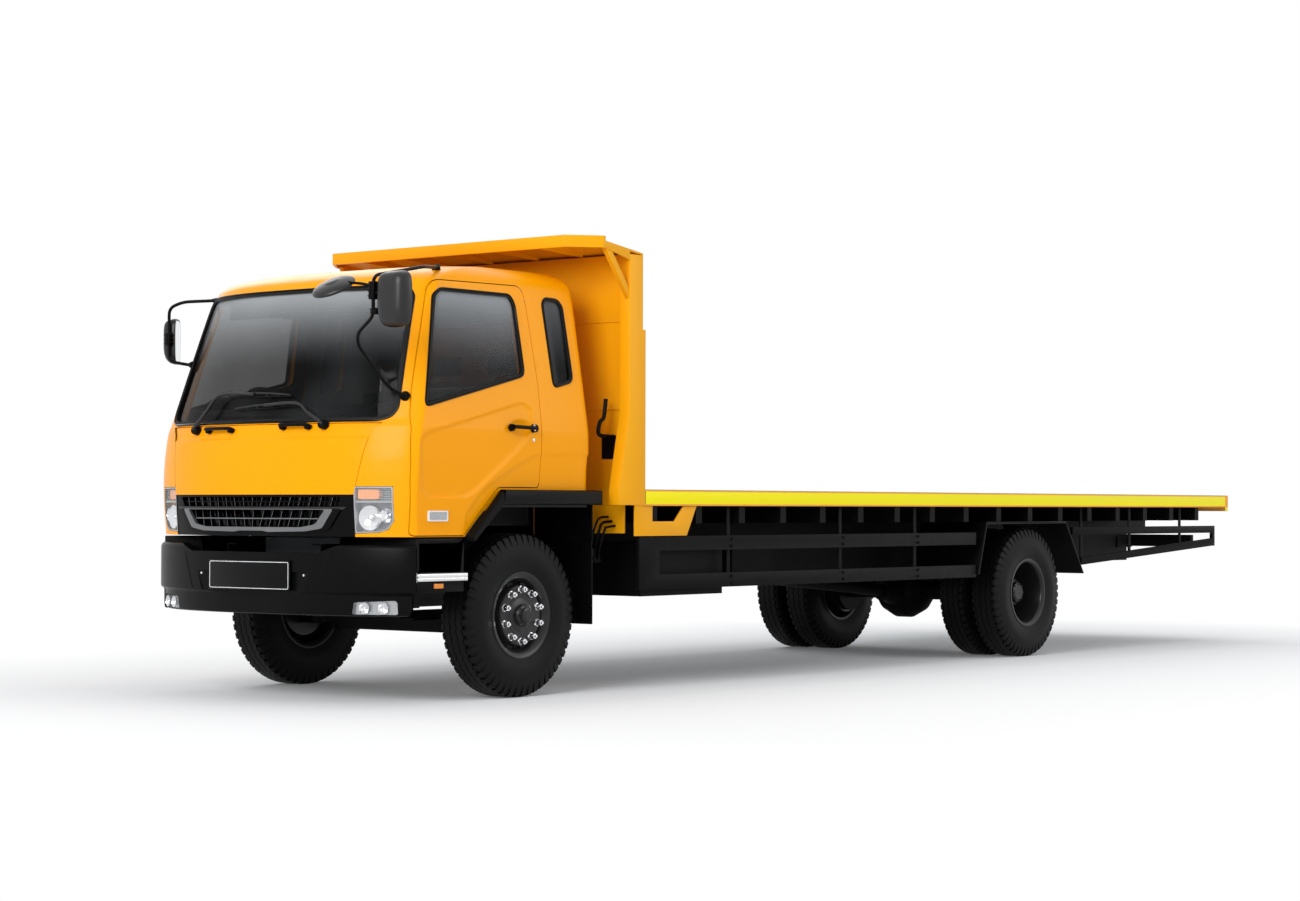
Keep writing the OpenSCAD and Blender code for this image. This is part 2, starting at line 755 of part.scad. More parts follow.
module arch_flares() {
    color(black) both_sides() difference() {
        side_prism(FLARE, 1060, 1205);
        block([-far, 620], [0, 1156.3], [1000, 1400]);
    }
}

wheel_seat_y = -550;
module dashboard() {
    color(trim) difference() {
        intersection() {
            cab_form(wall + 0.3);
            side_prism([[860, 1250], [760, 1500], [700, 1800], [760, 1880], [1080, 1850], [1400, 1730],
                [1400, 1250]],
                -950, 950);
        }
        column(0.3);
    }
}

// The steering column's upper end, under the wheel
module column(grow) {
    translate([620, wheel_seat_y, 1860]) rotate([0, -42, 0])
        translate([0, 0, -190 - grow]) cylinder(d = 60 + 2 * grow, h = 200 + grow);
}

module steering_wheel() {
    color(trim) {
        translate([620, wheel_seat_y, 1860]) rotate([0, -42, 0]) {
            rotate_extrude() translate([210, 0]) circle(d = 32);
            for (a = [0, 120, 240]) rotate([0, 0, a]) translate([100, 0, 0]) cube([212, 24, 16],
                center = true);
        }
        column(0);
    }
}

// Seats: middle y, width
well_y = 605;
SEATS = [[wheel_seat_y, 520], [500, 520], [0, 360]];
module seats() {
    color(trim) for (s = SEATS) {
        block([-420, 90], [s[0] - s[1] / 2, s[0] + s[1] / 2], [floor_top + 190, 1430]);
        side_prism([[-400, 1430], [-260, 1430], [-400, 2080], [-500, 2080]], s[0] - s[1] / 2 + 20,
            s[0] + s[1] / 2 - 20);
        side_prism([[-500, 2080], [-400, 2080], [-430, 2280], [-510, 2280]], s[0] - 130, s[0] + 130);
        block([-400, 60], [max(s[0] - s[1] / 2 + 60, -well_y), min(s[0] + s[1] / 2 - 60, well_y)],
            [floor_top, floor_top + 190]);
    }
}

// How far forward the skin lies at a side offset and a height
function skin_x(y, z) = let (xf = lookup(z, [for (r = CAB) [r[0], r[1]]]),
    hw = lookup(z, [for (r = CAB) [r[0], r[2]]]), s = pow(abs(y) / hw, 1 / 0.769))
    xf - nose_depth * (1 - pow(sqrt(1 - s * s), 1.54));

function skin_point(y, z) = [skin_x(y, z), y, z];

function skin_normal(y, z) = let (v = [1, (skin_x(y - 1, z) - skin_x(y + 1, z)) / 2,
    (skin_x(y, z - 1) - skin_x(y, z + 1)) / 2]) v / norm(v);

// A round foot that stands on the skin
module foot(y, z, d, h) {
    bar(skin_point(y, z) + skin_normal(y, z) * 0.8, skin_point(y, z) + skin_normal(y, z) * h, d);
}

module mirror_head(centre, turn, w, h, t) {
    translate(centre) rotate([0, 0, turn]) hull() {
        translate([-t / 2, -w / 2 + 25, -h / 2 + 25]) cube([t * 0.4, w - 50, h - 50]);
        translate([-t / 2, -w / 2, -h / 2 + 20]) cube([t * 0.2, w, h - 40]);
        translate([t * 0.1, -w * 0.3, -h * 0.36]) cube([t * 0.4, w * 0.6, h * 0.72]);
    }
}

// The round mirror's radius and the angle of its axis from upright
round_r = 140;
round_tilt = 30;
module mirror_left() {
    round_x = front_reach - round_r * cos(round_tilt);
    color(black) {
        mirror_head([1420, 1300, 2470], 0, 240, 340, 100);
        bent_bar([skin_point(874, 2727) + [0, 10, 14], [900, 1060, 2722], [1425, 1150, 2700],
            [1440, 1160, 2660], [1440, 1160, 2370], [1380, 970, 2279], [1340, 930, 2210], [1200, 990,
                2019],
            [1110, 1000, 1942], skin_point(1038, 1905) + skin_normal(1038, 1905) * 25], 22);
        bar([1440, 1160, 2510], [1415, 1200, 2510], 26);
        bar([1440, 1160, 2550], [round_x, 890, 2560], 18);
        translate([round_x, 882, 2545]) rotate([0, round_tilt, 0])
            cylinder(d1 = 2 * round_r, d2 = 1.3 * round_r, h = 50);
        foot(874, 2727, 34, 24);
        foot(1038, 1905, 40, 32);
    }
}

module mirror_right() {
    color(black) {
        mirror_head([838, -1344, 2340], -51.5, 220, 310, 90);
        bent_bar([skin_point(-992, 2605) + skin_normal(-992, 2605) * 18, [880, -1180, 2600],
            [930, -1262, 2560], [930, -1262, 2200], skin_point(-1060, 2170) + skin_normal(-1060,
                2170) * 18], 22);
        bar([930, -1262, 2350], [890, -1300, 2350], 26);
        foot(-992, 2605, 24, 22);
        foot(-1060, 2170, 28, 24);
    }
}

// Each wiper's pivot, elbow and blade tip, as side offset, height and distance off the skin
WIPERS = [[[-555, 1722, 30], [-400, 1930, 30], [-60, 1928, 16], [270, 1920, 16]],
    [[600, 1730, 30], [345, 1880, 30], [50, 1866, 16], [-245, 1855, 16]]];
module wipers() {
    color(black) for (w = WIPERS) {
        bent_bar([for (p = w) [skin_x(p[0], p[1]) + p[2], p[0], p[1]]], 16);
        pivot = [skin_x(w[0][0], w[0][1]) + 0.5, w[0][0], w[0][1]];
        bar(pivot + [7, 0, 0], pivot + [40, 0, 0], 30);
    }
}

// Steering and wheels

arm_z = tyre_r - 100;
ear_t = 40;
hub_back = front_wheel_y - 60;
module knuckle() {
    z = tyre_r;
    for (k = [-1, 1]) translate([0, kingpin_y, z + k * (62 + ear_t / 2)]) cylinder(r = 52, h = ear_t,
        center = true);
    translate([0, kingpin_y, z - 62 - ear_t]) cylinder(r = kingpin_r, h = 124 + 2 * ear_t);
    block([-52, 52], [kingpin_y + 60, hub_back - 8], [z - 62 - ear_t, z + 62 + ear_t]);
    for (k = [-1, 1]) block([-40, 40], [kingpin_y, kingpin_y + 62], [z + k * (62 + ear_t / 2) - ear_t / 2,
        z + k * (62 + ear_t / 2) + ear_t / 2]);
    translate([0, 0, z]) wheel_bar(spindle_r, hub_back - 10, front_wheel_y + 100);
    block([-arm_len, -30], [kingpin_y - 20, kingpin_y + 20], [arm_z, arm_z + ear_t]);
    translate([-arm_len, kingpin_y, arm_z]) cylinder(r = 30, h = ear_t);
    translate([-arm_len, kingpin_y, arm_z - 50]) cylinder(r = 15, h = 51);
}

module knuckle_left() {
    color(black) knuckle();
}

module knuckle_right() {
    color(black) mirror([0, 1, 0]) knuckle();
}

module tie_rod() {
    color(black) difference() {
        union() {
            bar([-arm_len, -kingpin_y, arm_z - 30], [-arm_len, kingpin_y, arm_z - 30], 38);
            for (k = [-1, 1]) translate([-arm_len, k * kingpin_y, arm_z - 49]) cylinder(r = 32, h = 44);
        }
        for (k = [-1, 1]) translate([-arm_len, k * kingpin_y,
            arm_z - 60]) cylinder(r = 15 + (k > 0 ? running : 2), h = 70);
    }
}

// Half of a tyre's section: radius and side offset as a share of half the width
SECTION = [[0, 0.80], [28, 0.83], [70, 0.95], [120, 1.0], [165, 0.97], [215, 0.87], [245, 0.80], [262,
    0.62]];
module tyre(y) {
    hw = tyre_w / 2;
    s = (tyre_r - rim_r - 4) / 262;
    half = [for (p = SECTION) [rim_r + p[0] * s, p[1] * hw]];
    n = len(half);
    turned(concat([for (i = [0:n - 1]) half[i]], [[tyre_r, 0]], [for (i = [n - 1:-1:0]) [half[i][0],
        -half[i][1]]]), y);
}

rim_half = tyre_w * 0.4 + 0.3;
rim_t = 12;
// A rim with its disc at a side offset from the rim's middle
module rim(y, disc) {
    r = rim_r - 0.3;
    turned([[r, rim_half + 14], [r + 22, rim_half + 14], [r + 22, rim_half + 5.5], [r, rim_half],
        [r, -rim_half], [r + 22, -rim_half - 5.5], [r + 22, -rim_half - 14], [r, -rim_half - 14],
        [r - rim_t, -rim_half], [r - rim_t, disc - 40], [stud_pcd / 2 + 30, disc - rim_t], [60,
            disc - rim_t],
        [60, disc], [stud_pcd / 2 + 34, disc], [r - rim_t, disc - 20], [r - rim_t, rim_half]], y);
}

module nuts(y, reach) {
    for (i = [0:nut_count - 1]) rotate([0, i * 360 / nut_count, 0]) translate([stud_pcd / 2, 0, 0])
        wheel_bar(17, y, y + reach);
}

front_disc = 112;
module front_wheel() {
    hub_y = front_wheel_y + front_disc;
    rim(front_wheel_y, front_disc);
    difference() {
        union() {
            wheel_bar(stud_pcd / 2 + 25, hub_back, hub_back + 120);
            wheel_bar(110, hub_back + 120, hub_y + 25);
            wheel_bar(70, hub_y + 25, hub_y + 40);
        }
        wheel_bar(spindle_r + running, hub_back - 1, front_wheel_y + 105);
    }
    nuts(hub_y - 15, 45);
}

module at_front() {
    translate([0, 0, tyre_r]) children();
}

module at_rear() {
    translate([-wheelbase, 0, tyre_r]) children();
}

rear_disc = -twin_pitch / 2 + 20;
module rear_wheels() {
    plane = rear_outer_y + rear_disc;
    rim(rear_outer_y, rear_disc);
    mirror([0, 1, 0]) rim(-twin_y, rear_disc);
    difference() {
        union() {
            wheel_bar(205, 605, 770);
            wheel_bar(150, 770, plane + 10);
            wheel_bar(110, plane + 10, plane + 120);
            wheel_bar(80, plane + 120, plane + 165);
        }
        wheel_bar(spindle_r + 20 + running, 604, 1112);
    }
    nuts(plane - 15, 60);
}

module tyre_left() {
    color(tyre_black) at_front() tyre(front_wheel_y);
}

module tyre_right() {
    color(tyre_black) at_front() tyre(-front_wheel_y);
}

module wheel_left() {
    color(black) at_front() front_wheel();
}

module wheel_right() {
    color(black) at_front() mirror([0, 1, 0]) front_wheel();
}

module tyres_left() {
    color(tyre_black) at_rear() for (y = [rear_outer_y, twin_y]) tyre(y);
}

module tyres_right() {
    color(tyre_black) at_rear() for (y = [rear_outer_y, twin_y]) tyre(-y);
}

module wheels_left() {
    color(black) at_rear() rear_wheels();
}

module wheels_right() {
    color(black) at_rear() mirror([0, 1, 0]) rear_wheels();
}

// The model's origin is on the ground under the middle of its length
module placed() {
    translate([axle_x, 0, 0]) children();
}

placed() frame();
placed() engine();
placed() driveline();
placed() front_axle();
placed() rear_axle();
placed() leaf_springs();
placed() tanks();
placed() exhaust();
placed() bumper();
placed() chassis_lamps();
placed() steps();
placed() mudguards();
placed() side_guards();
placed() rear_guard();
placed() subframe();
placed() deck();
placed() headboard();
placed() canopy();
placed() cab_shell();
placed() tilt_arms();
placed() front_panel();
placed() grille();
placed() headlamps();
placed() cab_glass();
placed() arch_flares();
placed() dashboard();
placed() steering_wheel();
placed() seats();
placed() mirror_left();
placed() mirror_right();
placed() wipers();
placed() door_left();
placed() door_right();
placed() door_glass_left();
placed() door_glass_right();
placed() knuckle_left();
placed() knuckle_right();
placed() tie_rod();
placed() tyre_left();
placed() tyre_right();
placed() wheel_left();
placed() wheel_right();
placed() tyres_left();
placed() tyres_right();
placed() wheels_left();
placed() wheels_right();
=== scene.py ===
"""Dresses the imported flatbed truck: smooth cab panels, tyres, lamps, trim, seats, finishes, studio and camera."""

import json
import logging
import math
from dataclasses import dataclass, field
from enum import Enum
from functools import partial
from typing import Callable, Iterable, Optional, Sequence

import bmesh
import bpy
from mathutils import Matrix, Vector

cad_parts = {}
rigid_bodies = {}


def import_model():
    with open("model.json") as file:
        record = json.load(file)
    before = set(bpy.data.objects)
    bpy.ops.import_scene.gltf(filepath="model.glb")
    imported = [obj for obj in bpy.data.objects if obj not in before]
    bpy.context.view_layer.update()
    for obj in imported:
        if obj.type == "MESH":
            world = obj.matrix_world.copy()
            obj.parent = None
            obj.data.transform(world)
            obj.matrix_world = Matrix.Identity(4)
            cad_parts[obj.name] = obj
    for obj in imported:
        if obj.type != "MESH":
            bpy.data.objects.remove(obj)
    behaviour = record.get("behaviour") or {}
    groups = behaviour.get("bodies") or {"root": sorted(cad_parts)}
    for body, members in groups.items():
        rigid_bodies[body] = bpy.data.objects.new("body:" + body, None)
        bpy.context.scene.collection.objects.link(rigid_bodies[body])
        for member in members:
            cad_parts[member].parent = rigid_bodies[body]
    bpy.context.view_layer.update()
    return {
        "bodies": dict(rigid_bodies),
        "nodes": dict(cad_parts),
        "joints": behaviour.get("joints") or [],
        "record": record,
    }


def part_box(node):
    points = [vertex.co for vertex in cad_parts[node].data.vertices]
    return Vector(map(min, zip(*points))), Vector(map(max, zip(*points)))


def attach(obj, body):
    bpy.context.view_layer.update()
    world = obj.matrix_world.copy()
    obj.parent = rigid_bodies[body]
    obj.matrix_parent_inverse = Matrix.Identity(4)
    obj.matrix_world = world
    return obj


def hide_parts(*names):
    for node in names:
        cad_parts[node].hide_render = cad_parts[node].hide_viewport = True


log = logging.getLogger("truck")
Point = Sequence[float]
Outline = Sequence[tuple[float, float]]
RING_FACES = 96
AXLE_Z = 0.528
WHEELBASE = 6.2
NOSE_STATIONS = 22
SIDE_START = 34
QUARTER_END = SIDE_START + 28


def srgb(red: int, green: int, blue: int) -> tuple[float, float, float, float]:
    """Turns a colour read from a picture, 0 to 255, into the linear colour of a shader."""
    return tuple(((c / 255 + 0.055) / 1.055) ** 2.4 if c > 10 else c / 255 / 12.92 for c in (red, green, blue)) + (1.0,)


# Shader nodes


class Value:
    """A shader socket that carries a number, with arithmetic that adds Math nodes."""

    def __init__(self, tree: "Shader", socket: bpy.types.NodeSocket) -> None:
        """Wraps one output socket of a tree."""
        self.tree = tree
        self.socket = socket

    def _math(self, operation: str, left: object, right: object = 0.0) -> "Value":
        """Adds one Math node between two values."""
        return self.tree.add("ShaderNodeMath", {"operation": operation}, {0: left, 1: right})[0]

    def __add__(self, other: object) -> "Value":
        """Adds a value or a number."""
        return self._math("ADD", self, other)

    def __sub__(self, other: object) -> "Value":
        """Takes a value or a number away."""
        return self._math("SUBTRACT", self, other)

    def __rsub__(self, other: object) -> "Value":
        """Takes this value away from a number."""
        return self._math("SUBTRACT", other, self)

    def __mul__(self, other: object) -> "Value":
        """Multiplies by a value or a number."""
        return self._math("MULTIPLY", self, other)

    def __truediv__(self, other: object) -> "Value":
        """Divides by a value or a number."""
        return self._math("DIVIDE", self, other)

    def __pow__(self, other: object) -> "Value":
        """Raises to a power."""
        return self._math("POWER", self, other)

    __radd__ = __add__
    __rmul__ = __mul__

    def clamp(self) -> "Value":
        """Limits the value to 0 to 1."""
        return self.tree.add("ShaderNodeClamp", {}, {0: self})[0]

    def above(self, edge: float, width: float) -> "Value":
        """Rises from 0 to 1 over a width round an edge."""
        return ((self - (edge - width / 2)) / width).clamp()


class Shader:
    """The node tree of a material or a world, built by one method that adds any node."""

    def __init__(self, name: str, owner: Optional[bpy.types.World] = None) -> None:
        """Starts an empty material of that name, or the empty node tree of an owner."""
        self.material = owner or bpy.data.materials.new(name)
        self.material.use_nodes = True
        self.nodes = self.material.node_tree.nodes
        self.links = self.material.node_tree.links
        self.nodes.clear()

    def add(self, kind: str, settings: dict, inputs: dict) -> list[Value]:
        """Adds a node.

        Args:
            kind: the node's type.
            settings: properties that are set first.
            inputs: values or links by socket name or number.

        Returns:
            The node's outputs as wrapped values.
        """
        node = self.nodes.new(kind)
        for key, value in settings.items():
            setattr(node, key, value)
        for key, value in inputs.items():
            if isinstance(value, Value):
                self.links.new(value.socket, node.inputs[key])
            else:
                node.inputs[key].default_value = value
        return [Value(self, s) for s in node.outputs]

    def place(self) -> Value:
        """The point's place in the truck's own frame."""
        return self.add("ShaderNodeTexCoord", {}, {})[3]

    def axis(self, index: int) -> Value:
        """One coordinate of the point's place."""
        return self.add("ShaderNodeSeparateXYZ", {}, {0: self.place()})[index]

    def noise(self, scale: float, detail: float = 3.0) -> Value:
        """A noise value over the object."""
        return self.add("ShaderNodeTexNoise", {}, {"Vector": self.place(), "Scale": scale, "Detail": detail})[0]

    def blend(self, factor: object, first: object, second: object) -> Value:
        """Mixes two colours."""
        return self.add("ShaderNodeMix", {"data_type": "RGBA"}, {0: factor, 6: first, 7: second})[2]

    def bump(self, height: Value, strength: float, distance: float) -> Value:
        """Turns a height into a normal."""
        return self.add("ShaderNodeBump", {}, {"Strength": strength, "Distance": distance, "Height": height})[0]

    def surface(self, inputs: dict) -> Value:
        """Adds the Principled shader."""
        return self.add("ShaderNodeBsdfPrincipled", {}, inputs)[0]

    def finish(self, surface: Value) -> bpy.types.Material:
        """Links a surface to the output and gives the material back."""
        self.add("ShaderNodeOutputMaterial", {}, {0: surface})
        return self.material


# Finishes


@dataclass(frozen=True)
class Finish:
    """A painted or moulded finish with slow colour variation, fine grain and dust low down."""

    name: str
    colour: tuple
    shade: tuple
    roughness: float = 0.4
    metallic: float = 0.0
    coat: float = 0.0
    shine: float = 0.5
    patch_scale: float = 3.0
    patch_share: float = 0.5
    grain_scale: float = 400.0
    grain: float = 0.05
    grain_depth: float = 0.0004
    dust: float = 0.0
    dust_top: float = 0.9

    def material(self) -> bpy.types.Material:
        """Builds the finish's material."""
        s = Shader(self.name)
        patch = s.noise(self.patch_scale, 4.0)
        colour = s.blend((patch - 0.35) * 2.2 * self.patch_share, self.colour, self.shade)
        rough = self.roughness + (s.noise(self.patch_scale * 6) - 0.5) * 0.12
        if self.dust > 0:
            low = 1 - s.axis(2).above(self.dust_top * 0.6, self.dust_top * 0.8)
            film = (low * (s.noise(9.0, 6.0) * 1.4) * self.dust).clamp()
            colour = s.blend(film, colour, srgb(120, 112, 100))
            rough = rough + film * 0.3
        grain = s.bump(s.noise(self.grain_scale, 2.0), self.grain, self.grain_depth)
        return s.finish(s.surface({"Base Color": colour, "Metallic": self.metallic, "Roughness": rough,
                                   "Specular IOR Level": self.shine, "Coat Weight": self.coat,
                                   "Coat Roughness": 0.06, "Normal": grain}))


@dataclass(frozen=True)
class Glass:
    """A tinted pane that darkens towards its lower edge, whose colour pales towards the top with a painted sky
    reflection.
    """

    name: str
    tint: tuple
    sky: tuple
    alpha_low: float
    alpha_high: float
    low_z: float
    high_z: float
    roughness: float = 0.03
    shine: float = 0.3

    def material(self) -> bpy.types.Material:
        """Builds the pane's material."""
        s = Shader(self.name)
        rise = s.axis(2).above((self.low_z + self.high_z) / 2, self.high_z - self.low_z) ** 2
        smear = s.noise(2.5, 3.0) * 0.03
        alpha = self.alpha_low + rise * (self.alpha_high - self.alpha_low) + smear
        # Painted reflection: the colour turns from the tint low down to a pale sky reflection at the top.
        colour = s.blend((rise + (s.noise(0.8, 2.0) - 0.5) * 0.3).clamp(), self.tint, self.sky)
        return s.finish(s.surface({"Base Color": colour, "Roughness": self.roughness, "Alpha": alpha,
                                   "Specular IOR Level": self.shine, "IOR": 1.5}))


@dataclass(frozen=True)
class Cloth:
    """A woven seat cover."""

    name: str
    colour: tuple
    thread: tuple
    pitch: float = 0.004

    def material(self) -> bpy.types.Material:
        """Builds the weave's material."""
        s = Shader(self.name)
        turns = 2 * math.pi / self.pitch
        waves = [s.add("ShaderNodeMath", {"operation": "SINE"}, {0: s.axis(i) * turns})[0] for i in range(3)]
        weave = (waves[0] * waves[1] + waves[1] * waves[2] + waves[0] * waves[2]) / 6 + 0.5
        colour = s.blend((weave * 0.5 + s.noise(30.0) * 0.4).clamp(), self.colour, self.thread)
        return s.finish(s.surface({"Base Color": colour, "Roughness": 0.85, "Sheen Weight": 0.25,
                                   "Normal": s.bump(weave, 0.3, 0.0008)}))


@dataclass(frozen=True)
class Lens:
    """A clear or coloured lamp lens with fine vertical flutes."""

    name: str
    colour: tuple
    alpha: float
    flute: float = 0.012

    def material(self) -> bpy.types.Material:
        """Builds the lens's material."""
        s = Shader(self.name)
        across = s.axis(1) * (2 * math.pi / self.flute)
        flutes = s.add("ShaderNodeMath", {"operation": "SINE"}, {0: across})[0] * 0.5 + 0.5
        colour = s.blend(flutes * 0.25, self.colour, srgb(255, 255, 255))
        return s.finish(s.surface({"Base Color": colour, "Roughness": 0.05, "Alpha": self.alpha,
                                   "Normal": s.bump(flutes, 0.25, 0.001)}))


class Look(Enum):
    """The truck's finishes."""

    CAB = Finish("cab_orange", srgb(255, 164, 0), srgb(252, 157, 0), 0.3, coat=0.05, shine=0.1, patch_scale=1.2)
    BOARD = Finish("board_orange", srgb(248, 172, 8), srgb(240, 162, 6), 0.42, shine=0.18, patch_scale=2.0)
    BAND = Finish("band_yellow", srgb(250, 236, 4), srgb(246, 230, 2), 0.4, shine=0.2, patch_scale=2.0)
    EDGE = Finish("edge_orange", srgb(244, 160, 20), srgb(232, 148, 18), 0.45)
    DECK = Finish("deck_grey_yellow", srgb(238, 206, 34), srgb(222, 190, 40), 0.6, shine=0.25, patch_scale=1.4,
                  patch_share=0.6, grain_scale=60.0, grain=0.3, grain_depth=0.002)
    CHASSIS = Finish("chassis_satin", srgb(10, 10, 11), srgb(6, 6, 7), 0.5, shine=0.07, dust=0.015, patch_scale=4.0,
                     grain=0.2)
    PLASTIC = Finish("moulded_black", srgb(9, 9, 10), srgb(5, 5, 6), 0.32, shine=0.07, grain=0.15, grain_scale=900.0)
    MIRROR = Finish("mirror_plastic", srgb(30, 30, 31), srgb(22, 22, 23), 0.36, shine=0.35, grain=0.25,
                    grain_scale=700.0)
    GLOSS = Finish("gloss_black", srgb(8, 8, 9), srgb(5, 5, 6), 0.14, shine=0.12)
    RUBBER = Finish("seal_rubber", srgb(12, 12, 12), srgb(8, 8, 8), 0.6, shine=0.2, grain=0.2, grain_scale=800.0)
    TYRE = Finish("tread_rubber", srgb(16, 16, 16), srgb(7, 7, 7), 0.48, shine=0.1, dust=0.015, dust_top=0.5,
                  patch_scale=7.0, grain=0.4, grain_scale=260.0)
    WHEEL = Finish("wheel_black", srgb(25, 25, 26), srgb(17, 17, 18), 0.3, shine=0.34, dust=0.05, dust_top=0.6)
    CHROME = Finish("chrome", srgb(236, 236, 238), srgb(205, 205, 210), 0.12, metallic=1.0, grain=0.02)
    SATIN = Finish("satin_grey", srgb(118, 119, 121), srgb(92, 93, 95), 0.34, metallic=0.6, grain=0.1,
                   grain_scale=500.0)
    STEEL = Finish("tread_steel", srgb(214, 214, 212), srgb(176, 176, 176), 0.35, metallic=0.7, grain=0.2,
                   grain_scale=150.0)
    CAST = Finish("cast_iron", srgb(84, 86, 88), srgb(58, 60, 62), 0.7, metallic=0.3, grain=0.7, grain_scale=180.0,
                  grain_depth=0.001, dust=0.3)
    EXHAUST = Finish("exhaust_tube", srgb(120, 108, 98), srgb(88, 70, 56), 0.55, metallic=0.7, grain=0.4,
                     grain_scale=120.0, dust=0.2)
    TRIM = Finish("cab_trim", srgb(26, 26, 28), srgb(20, 20, 22), 0.6, shine=0.3, grain=0.5, grain_scale=500.0)
    LINING = Finish("cab_lining", srgb(150, 148, 144), srgb(128, 126, 122), 0.7, shine=0.2, grain=0.3,
                    grain_scale=300.0)
    REFLECTOR = Finish("lamp_reflector", srgb(176, 178, 180), srgb(132, 134, 136), 0.22, metallic=0.85)
    SILVER = Finish("mirror_silver", srgb(226, 230, 232), srgb(216, 220, 224), 0.04, metallic=1.0, grain=0.01)
    WHITE = Finish("white_line", srgb(236, 236, 236), srgb(220, 220, 220), 0.4)
    SCREEN = Glass("screen_glass", srgb(6, 7, 8), srgb(214, 217, 219), 0.5, 0.5, 2.06, 2.66, shine=0.08)
    PANE = Glass("door_glass", srgb(6, 7, 8), srgb(196, 199, 202), 0.46, 0.58, 2.0, 2.64, shine=0.07)
    DARK_PANE = Glass("dark_glass", srgb(6, 7, 8), srgb(120, 123, 126), 0.97, 0.93, 2.0, 2.8, shine=0.08)
    SEAT = Cloth("seat_cloth", srgb(42, 42, 46), srgb(70, 70, 76))
    CLEAR = Lens("clear_lens", srgb(226, 230, 232), 0.09)
    AMBER = Lens("amber_lens", srgb(255, 150, 24), 0.85, 0.008)
    RED = Lens("red_lens", srgb(190, 16, 12), 0.9, 0.008)

    def made(self) -> bpy.types.Material:
        """The finish's material, built once."""
        name = self.value.name
        return bpy.data.materials.get(name) or self.value.material()


# Geometry Nodes


class NodeRecipe:
    """A Geometry Nodes tree with named inputs that ends in Realize Instances and Set Material."""

    def __init__(self, name: str, inputs: Sequence[tuple[str, str]]) -> None:
        """Starts a tree with a geometry input and further named inputs."""
        self.tree = bpy.data.node_groups.new(name, "GeometryNodeTree")
        face = self.tree.interface
        face.new_socket("Geometry", in_out="OUTPUT", socket_type="NodeSocketGeometry")
        for label, kind in (("Geometry", "NodeSocketGeometry"), *inputs, ("Finish", "NodeSocketMaterial")):
            face.new_socket(label, in_out="INPUT", socket_type=kind)
        self.given = self.tree.nodes.new("NodeGroupInput").outputs

    def add(self, kind: str, settings: dict, inputs: dict) -> bpy.types.Node:
        """Adds a node with its settings, values and links."""
        node = self.tree.nodes.new(kind)
        for key, value in settings.items():
            setattr(node, key, value)
        for key, value in inputs.items():
            if isinstance(value, bpy.types.NodeSocket):
                self.tree.links.new(value, node.inputs[key])
            else:
                node.inputs[key].default_value = value
        return node

    def close(self, geometry: bpy.types.NodeSocket) -> "NodeRecipe":
        """Realizes, sets the material and links the output."""
        real = self.add("GeometryNodeRealizeInstances", {}, {0: geometry})
        finish = self.add("GeometryNodeSetMaterial", {}, {0: real.outputs[0], 2: self.given["Finish"]})
        self.add("NodeGroupOutput", {}, {0: finish.outputs[0]})
        return self

    def run(self, base: bpy.types.Object, name: str, **values: object) -> bpy.types.Object:
        """Runs the tree on an object.

        Args:
            base: the object whose mesh goes in; it is removed afterwards.
            name: the new piece's name.
            values: the named inputs, with spaces as underscores.

        Returns:
            A new object with the plain mesh that the tree gives.
        """
        modifier = base.modifiers.new("recipe", "NODES")
        modifier.node_group = self.tree
        for item in self.tree.interface.items_tree:
            key = item.name.replace(" ", "_")
            if item.in_out == "INPUT" and key in values:
                modifier[item.identifier] = values[key]
        made = plain_copy(base, name)
        bpy.data.objects.remove(base)
        return made


def instancer() -> NodeRecipe:
    """A tree that sets a shape on every point of a mesh, turned by the point's own "turn" attribute."""
    recipe = NodeRecipe("set_on_points", [("Shape", "NodeSocketObject"), ("Size", "NodeSocketFloat")])
    shape = recipe.add("GeometryNodeObjectInfo", {}, {0: recipe.given["Shape"]})
    turn = recipe.add("GeometryNodeInputNamedAttribute", {"data_type": "FLOAT_VECTOR"}, {"Name": "turn"})
    spread = recipe.add("GeometryNodeInstanceOnPoints", {}, {
        "Points": recipe.given["Geometry"], "Instance": shape.outputs["Geometry"], "Rotation": turn.outputs[0],
        "Scale": recipe.given["Size"]})
    return recipe.close(spread.outputs[0])


def sweeper() -> NodeRecipe:
    """A tree that draws a round strip of a given radius along a mesh's edges."""
    recipe = NodeRecipe("strip_on_path", [("Radius", "NodeSocketFloat"), ("Sides", "NodeSocketInt")])
    curve = recipe.add("GeometryNodeMeshToCurve", {}, {0: recipe.given["Geometry"]})
    ring = recipe.add("GeometryNodeCurvePrimitiveCircle", {}, {"Resolution": recipe.given["Sides"],
                                                               "Radius": recipe.given["Radius"]})
    strip = recipe.add("GeometryNodeCurveToMesh", {}, {0: curve.outputs[0], 1: ring.outputs[0], "Fill Caps": True})
    smooth = recipe.add("GeometryNodeSetShadeSmooth", {}, {0: strip.outputs[0]})
    return recipe.close(smooth.outputs[0])


# Mesh tools


def plain_copy(source: bpy.types.Object, name: str) -> bpy.types.Object:
    """A new object with the evaluated mesh of another one."""
    graph = bpy.context.evaluated_depsgraph_get()
    mesh = bpy.data.meshes.new_from_object(source.evaluated_get(graph))
    mesh.name = name
    return link(bpy.data.objects.new(name, mesh))


def link(thing: bpy.types.Object) -> bpy.types.Object:
    """Puts an object in the scene and gives it back."""
    bpy.context.scene.collection.objects.link(thing)
    return thing


def from_bmesh(bm: bmesh.types.BMesh, name: str, look: Optional[Look] = None) -> bpy.types.Object:
    """Turns a bmesh into an object with one finish."""
    bmesh.ops.recalc_face_normals(bm, faces=bm.faces)
    mesh = bpy.data.meshes.new(name)
    bm.to_mesh(mesh)
    bm.free()
    made = link(bpy.data.objects.new(name, mesh))
    if look:
        mesh.materials.append(look.made())
    return made


